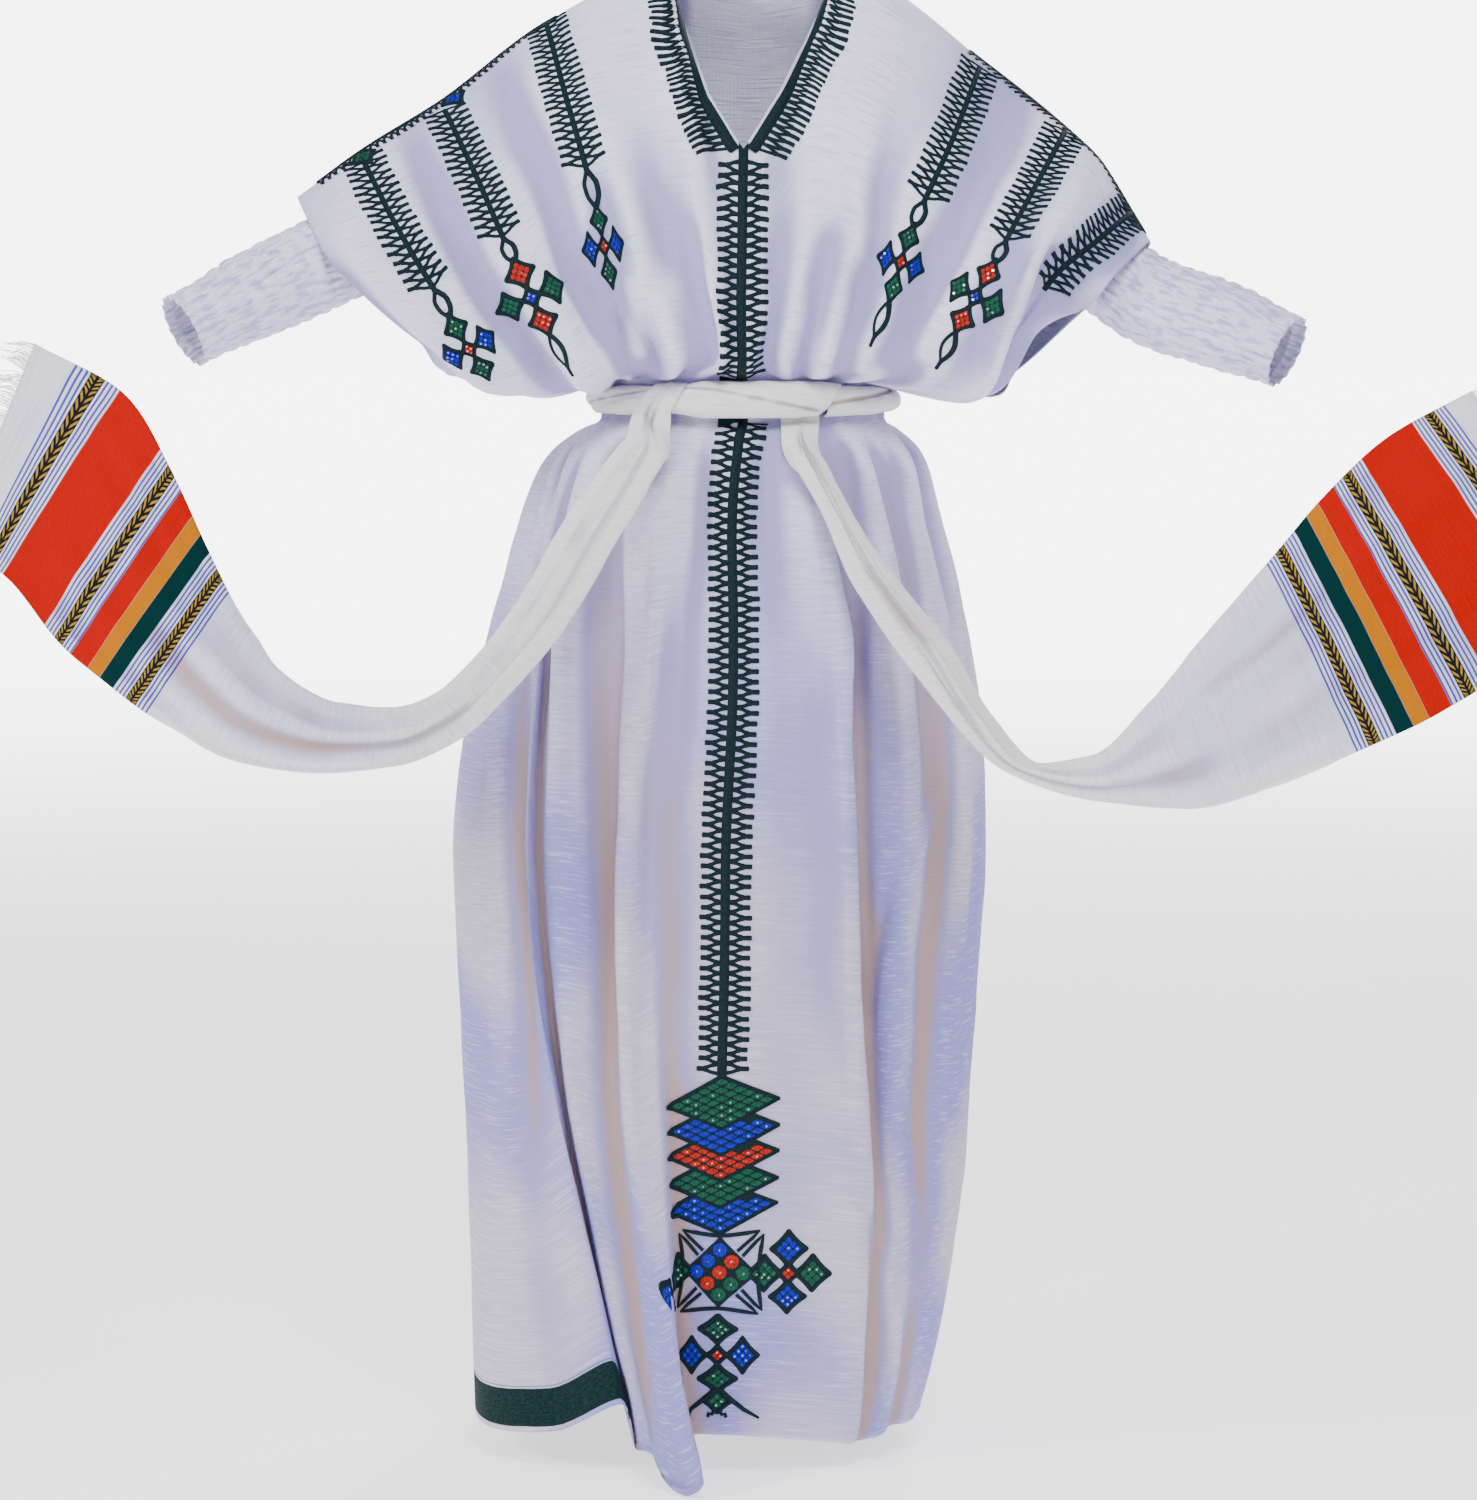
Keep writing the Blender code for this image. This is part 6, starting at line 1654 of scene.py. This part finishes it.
def sash_finish(name, bands):
    finish = Finish(name, Roughness=0.95, Specular_IOR_Level=0.06)
    height, slub = woven(finish)
    x, y = finish.flat()
    cloud = finish.noise(14.0, 9.0, 2.0, 0.5, 4.0)
    colour = finish.mix(cloud.step(0.35, 0.7) * 0.5, SASH_WHITE, SASH_SHADE)
    colour = finish.mix(y.step(0.40, 0.60) * 0.85 if bands else 0.85, colour, SASH_CREAM)
    colour = finish.mix(slub.step(0.52, 0.70) * 0.28, colour, (0.96, 0.95, 0.96))
    colour = finish.mix(slub.step(0.48, 0.30) * 0.26, colour, (0.40, 0.37, 0.50))
    # painted shade: deep places in the sash's folds are painted lilac, and deeper ones warm brown
    depth = finish.stored("depth")
    colour = finish.mix(depth.step(0.05, 0.70) * 0.55, colour, PAINTED_FOLD_SHADE)
    colour = finish.mix(depth.step(0.30, 0.90) * 0.80, colour, PAINTED_WARM_SHADE)
    if bands:
        end = y + (finish.noise(30.0, 30.0, 1.0) - 0.5) * 0.0018
        thread = finish.noise(420.0, 1100.0, 2.0, 0.6, 3.0)
        for low, high, tint in STRIPES:
            mask = end.step(low - 0.0004, low + 0.0004) * end.step(high + 0.0004, high - 0.0004)
            pale = tuple(min(1.0, c * 1.25 + 0.002) for c in tint)
            colour = finish.mix(mask, colour, finish.mix(thread.step(0.40, 0.85) * 0.35, tint, pale))
        near = abs(end - BORDERS[0]).least(abs(end - BORDERS[1])).least(abs(end - BORDERS[2]))
        lines = near.band(0.0084, 0.0009, 0.0004).most(near.band(0.0124, 0.0009, 0.0004))
        lines = lines.most(near.band(0.0166, 0.0009, 0.0004))
        colour = finish.mix(lines * 0.92, colour, BLUE_LINE)
        # the braid: gold dashes leaning one way above the middle line and the other way below it
        lean = ((x + near * 0.9).folded(0.0021) / 0.0021).step(0.42, 0.62)
        rows = near.band(0.0030, 0.0019, 0.0006)
        braid = finish.mix(lean * rows, BRAID_DARK, BRAID_GOLD)
        colour = finish.mix(near.step(0.0061, 0.0055), colour, braid)
        height = height + lean * rows * near.step(0.0061, 0.0055) * 0.35
    finish.feed(Base_Color=colour)
    finish.bump(height, 0.0010)
    return finish


print(len(STRIPES), "wide stripes and", len(BORDERS), "braided borders")


# %% the rolled belt
def belt_strip(name, stops, low, high, lift, node, finish):
    """Strip of the rolled belt over stops of (side, turn), from one bow to another; its folds wind round."""
    rows, flat = [], []
    gone, before = 0.0, None
    across = 56
    for k, (side, turn) in enumerate(stops):
        bows = np.linspace(low(k / (len(stops) - 1)), high, across)
        middle = belt_point(turn, side, 0.0, 0.0)
        gone += 0.0 if before is None else float(np.linalg.norm(middle - before))
        before = middle
        wind = np.radians(bows) * 1.25 + gone * 16.0
        folds = np.abs(np.cos(wind)) ** 0.6 * 0.0036 + np.abs(np.cos(wind * 0.61 + 1.0)) ** 0.7 * 0.0022 - 0.0029
        folds = folds + 0.0006 * lumps(bows / 26.0, np.full(across, gone / 0.012), 31)
        rows.append([belt_point(turn, side, b, lift(k / (len(stops) - 1)) + p) for b, p in zip(bows, folds)])
        flat.append([(gone, 0.00035 * b) for b in bows])
    outer = np.array(rows)
    k = len(rows) // 2
    away = outer[k, across // 2] - ring(90.0, WAIST_Z, stops[k][0]) * (1, 0, 1)
    sign = 1.0 if (outward(outer, 1.0)[k, across // 2] * away).sum() > 0 else -1.0
    out = outward(outer, sign)
    # how deep each place lies in the belt's folds, which the sash cotton paints as shade
    depth = shade_depth(outer, out, ((7.0, 0.0035, 0.01), (5.0, 0.008, 0.05)))
    return shell(name, outer, outer - out * 0.0014, np.array(flat), finish, "belt_cotton", node, depth=depth)


belt_cotton = sash_finish("belt cotton", False)
way_round = [(-1, t) for t in np.linspace(63, 1, 60)] + [(1, t) for t in np.linspace(0.5, 179.5, 150)]
way_round += [(-1, t) for t in np.linspace(179, 120, 58)]
belt = belt_strip("belt_round", way_round, lambda t: -102.0, 102.0, lambda t: 0.0004, "belt_waist", belt_cotton)
knot = belt_strip("belt_knot", [(-1, t) for t in np.linspace(64.5, 126.0, 96)],
                  lambda t: -56.0 + 112.0 * float(smooth(0.82, 1.0, t)), 98.0,
                  lambda t: 0.0008 + 0.0054 * float(smooth(0.0, 0.35, t)) - 0.0018 * float(smooth(0.6, 1.0, t)),
                  "belt_cross", belt_cotton)


# %% the form of the tails
def tail_section(width, turned, bulge, curl):
    """Outline across a tail, as pairs of (inward from the upper edge, outward), with both edges turned behind."""
    angle = math.radians(max(curl, 2.0))
    roll = min(TAIL_ROLL * math.pi / angle, 0.3 * width / math.sin(min(angle, math.pi / 2)))
    turned = max(min(turned, 0.5 * width - TAIL_ROLL - 0.002), 0.002)
    flat = roll if angle > math.pi / 2 else roll * math.sin(angle) + turned * math.cos(angle)
    arc = [angle * k / 9 for k in range(9, -1, -1)]
    half = [(flat - roll * math.sin(bend), roll * math.cos(bend) - roll) for bend in arc]
    start = half[0]
    flap = [(start[0] - turned * s * math.cos(angle), start[1] - turned * s * math.sin(angle))
            for s in (1.0, 0.75, 0.5, 0.25)]
    half = flap + half
    middle = [(flat + (width - 2 * flat) * s, bulge * math.sin(math.pi * s) ** 0.7)
              for s in np.arange(1, 20) / 20]
    return half + middle + [(width - x, z) for x, z in half[::-1]]


def fine_tail(rows, start, count):
    """Outer points of a tail from the belt to its end, the length along it, and the way it ends."""
    stops = [[*(n / MM for n in (*upper, *lower, turned, bulge)), curl]
             for _, upper, lower, turned, bulge, curl in rows]
    table = np.array(start + stops)
    middle = (table[:, :3] + table[:, 3:6]) / 2
    length = travelled(middle)
    at = np.linspace(0, length[-1], count)
    read = through(length, table, at)
    top, bottom = read[:, :3], read[:, 3:6]
    run = unit(np.gradient((top + bottom) / 2, at, axis=0))
    outer, out = [], np.array([0.0, -1.0, 0.0])
    for k in range(count - 1, -1, -1):
        width = np.linalg.norm(bottom[k] - top[k])
        span = (bottom[k] - top[k]) / width
        turned = unit(np.cross(run[k], span))
        out = turned * (1 if np.dot(turned, out) > 0 else -1)
        outline = np.array(tail_section(width, *read[k, 6:9]))
        outer.append(top[k] + span * outline[:, :1] + out * outline[:, 1:])
    return np.array(outer[::-1]), at, run[-1]


print("tail sections of", len(tail_section(0.1, 0.02, 0.003, 180)), "points")

# %% creases of the tails
# creases along each tail: from (along, across) to (along, across), both 0 to 1, width and height in mm
TAIL_CREASES = {
    "right": (
        ((0.0, 0.4), (0.34, 0.47), 5, 3.6),
        ((0.04, 0.6), (0.45, 0.58), 4.5, -3.6),
        ((0.2, 0.34), (0.62, 0.4), 6, 4),
        ((0.38, 0.55), (0.8, 0.52), 8, -4.6),
        ((0.5, 0.68), (0.92, 0.64), 7, 4.4),
        ((0.55, 0.3), (0.97, 0.33), 6, -4),
    ),
    "left": (
        ((0.0, 0.44), (0.4, 0.5), 3, -4.8),
        ((0.02, 0.54), (0.36, 0.6), 2.8, -4.4),
        ((0.0, 0.49), (0.38, 0.55), 2.6, 3.6),
        ((0.03, 0.36), (0.46, 0.42), 4, 3.2),
        ((0.25, 0.62), (0.66, 0.6), 6, -4),
        ((0.4, 0.4), (0.84, 0.45), 8, 4.6),
        ((0.52, 0.66), (0.95, 0.68), 7, -4.4),
        ((0.58, 0.3), (0.97, 0.34), 6, 4),
    ),
}


print(sum(map(len, TAIL_CREASES.values())), "creases on the tails")


# %% a tail with its creases
def tail(name, rows, start, node, seed):
    """One end of the sash as a creased shell, with its last edge and the way it points."""
    outer, at, way = fine_tail(rows, start, 230)
    middle = outer.shape[1] // 2
    out = outward(outer, 1.0)
    if out[-1, middle, 1] > 0:
        out = -out
    across = np.cumsum(np.r_[0, np.linalg.norm(np.diff(outer, axis=1), axis=-1).mean(0)])
    share, along = across / across[-1], at / at[-1]
    mu, mv = (np.broadcast_to(length, out.shape[:2]) for length in (across[-1], at[-1]))
    push = np.zeros(out.shape[:2])
    for (v0, u0), (v1, u1), width, high in TAIL_CREASES[name.split("_")[1]]:
        push += crease(share, along, mu, mv, ((u0, v0), (u1, v1)), width / MM, high / MM * TAIL_GAIN, 0.3, 0.15)
    x, y = np.meshgrid(across, at)
    push += 0.0009 * lumps(x / 0.030, y / 0.045, seed) + 0.0004 * lumps(x / 0.012, y / 0.020, seed + 1)
    push *= smooth(0.0, 0.06, along)[:, None]
    outer = outer + out * push[..., None]
    new = outward(outer, 1.0)
    out = new * (1 if np.dot(new[-1, middle], out[-1, middle]) > 0 else -1)
    flat = np.stack([x, at[-1] - y], -1)
    # how deep each place lies in the tail's folds, which the sash cotton paints as shade
    depth = shade_depth(outer, out, ((5.5, 0.006, 0.0), (4.5, 0.014, 0.02)))
    depth = depth * smooth(0.0, 0.012, np.minimum(x, across[-1] - x))
    finish = sash_finish(name + " cotton", True)
    made = shell(name, outer, outer - out * 0.0013, flat, finish, "tail_cotton", node, depth=depth)
    return made, outer[-1], way


right_tail, right_edge, right_way = tail("sash_right", RIGHT_TAIL, right_start(), "belt_tail_right", 41)
left_tail, left_edge, left_way = tail("sash_left", LEFT_TAIL, left_start(), "belt_tail_left", 47)


# %% soft shade on the cloth close to the sash
def shade_near(made, others, reach, most, sideways):
    """Deepens the stored depth of a piece close to others that lie on it, more to one side of them."""
    points = np.concatenate([np.array([v.co for v in other.data.vertices])[::3] for other in others])
    tree = mathutils.kdtree.KDTree(len(points))
    for k, point in enumerate(points):
        tree.insert(point, k)
    tree.balance()
    stored = made.data.attributes["depth"].data
    for k, v in enumerate(made.data.vertices):
        found, _, far = tree.find(v.co)
        if far < 3.0 * reach:
            lean = 1.0 + sideways * max(-1.0, min(1.0, (found.z - v.co.z) / max(far, 1e-6)))
            stored[k].value = min(1.0, stored[k].value + most * lean * math.exp(-((far / reach) ** 2)))


shade_near(front, [right_tail, left_tail], 0.013, 0.55, 0.6)
shade_near(front, [belt, knot], 0.010, 0.45, 0.2)
shade_near(back, [belt], 0.010, 0.45, 0.2)
print("soft shade beside the sash on both panels")


# %% [markdown]
# ### Fringe
#
# The warp threads are left long where the weaving stops. They hang in small uneven tufts, so each thread starts
# in the end of the cloth, leans towards its tuft and falls a little.

# %% fringe
THREADS, TUFTS = 190, 30


def threads(name, lines, radius, finish, node):
    """Many fine threads as one mesh. Each line is its points, and radius goes from root to tip."""
    vertices, faces, places, sides = [], [], [], 3
    for line in lines:
        line = np.asarray(line, float)
        way = unit(np.gradient(line, axis=0))
        side = unit(np.cross(way, (0.31, 0.52, 0.79)))
        other = np.cross(way, side)
        base = len(vertices)
        for k, point in enumerate(line):
            size = radius[0] + (radius[1] - radius[0]) * k / (len(line) - 1)
            for s in range(sides):
                angle = 2 * math.pi * s / sides
                vertices.append(point + (side[k] * math.cos(angle) + other[k] * math.sin(angle)) * size)
                places.append((s / sides * 0.002, k * 0.004))
        for k in range(len(line) - 1):
            for s in range(sides):
                a, b = base + k * sides + s, base + k * sides + (s + 1) % sides
                faces.append((a, b, b + sides, a + sides))
    corners = [v for face in faces for v in face]
    mesh = cloth_mesh(name, vertices, faces, np.array(places)[corners])
    return placed(name, mesh, finish, node)


def fringe(name, edge, way, node, seed, finish):
    """The loose warp threads at one end of the sash."""
    chance = np.random.default_rng(seed)
    length = travelled(edge)
    on_edge = lambda place: np.array([np.interp(place, length, edge[:, i]) for i in range(3)])
    lines, tufts = [], np.sort(chance.uniform(0, length[-1], TUFTS))
    for k in range(THREADS):
        place = length[-1] * (k + chance.uniform(0.1, 0.9)) / THREADS
        root = on_edge(place)
        pull = on_edge(tufts[np.argmin(np.abs(tufts - place))]) - root
        long = chance.uniform(0.020, 0.036)
        lean = chance.normal(0, 0.0022, 3)
        lines.append([root - way * 0.0015 + way * long * t + pull * 0.6 * t + lean * t * t
                      + UP * -0.010 * t * t + chance.normal(0, 0.0003, 3) * t for t in np.linspace(0, 1, 7)])
    return threads(name, lines, (0.00055, 0.00030), finish, node)


fringe_cotton = Finish("fringe cotton", Base_Color=(0.9, 0.9, 0.93, 1.0), Roughness=0.9)
tone = fringe_cotton.noise(900.0, 300.0)
fringe_cotton.feed(Base_Color=fringe_cotton.mix(tone, (0.80, 0.80, 0.86), (0.96, 0.96, 0.98)))
fringes = [fringe("fringe_of_" + side, edge, way, "fringe_" + side, seed, fringe_cotton)
           for side, edge, way, seed in (("right", right_edge, right_way, 5), ("left", left_edge, left_way, 6))]

print(len(shirred) + 6, "sheets declared")
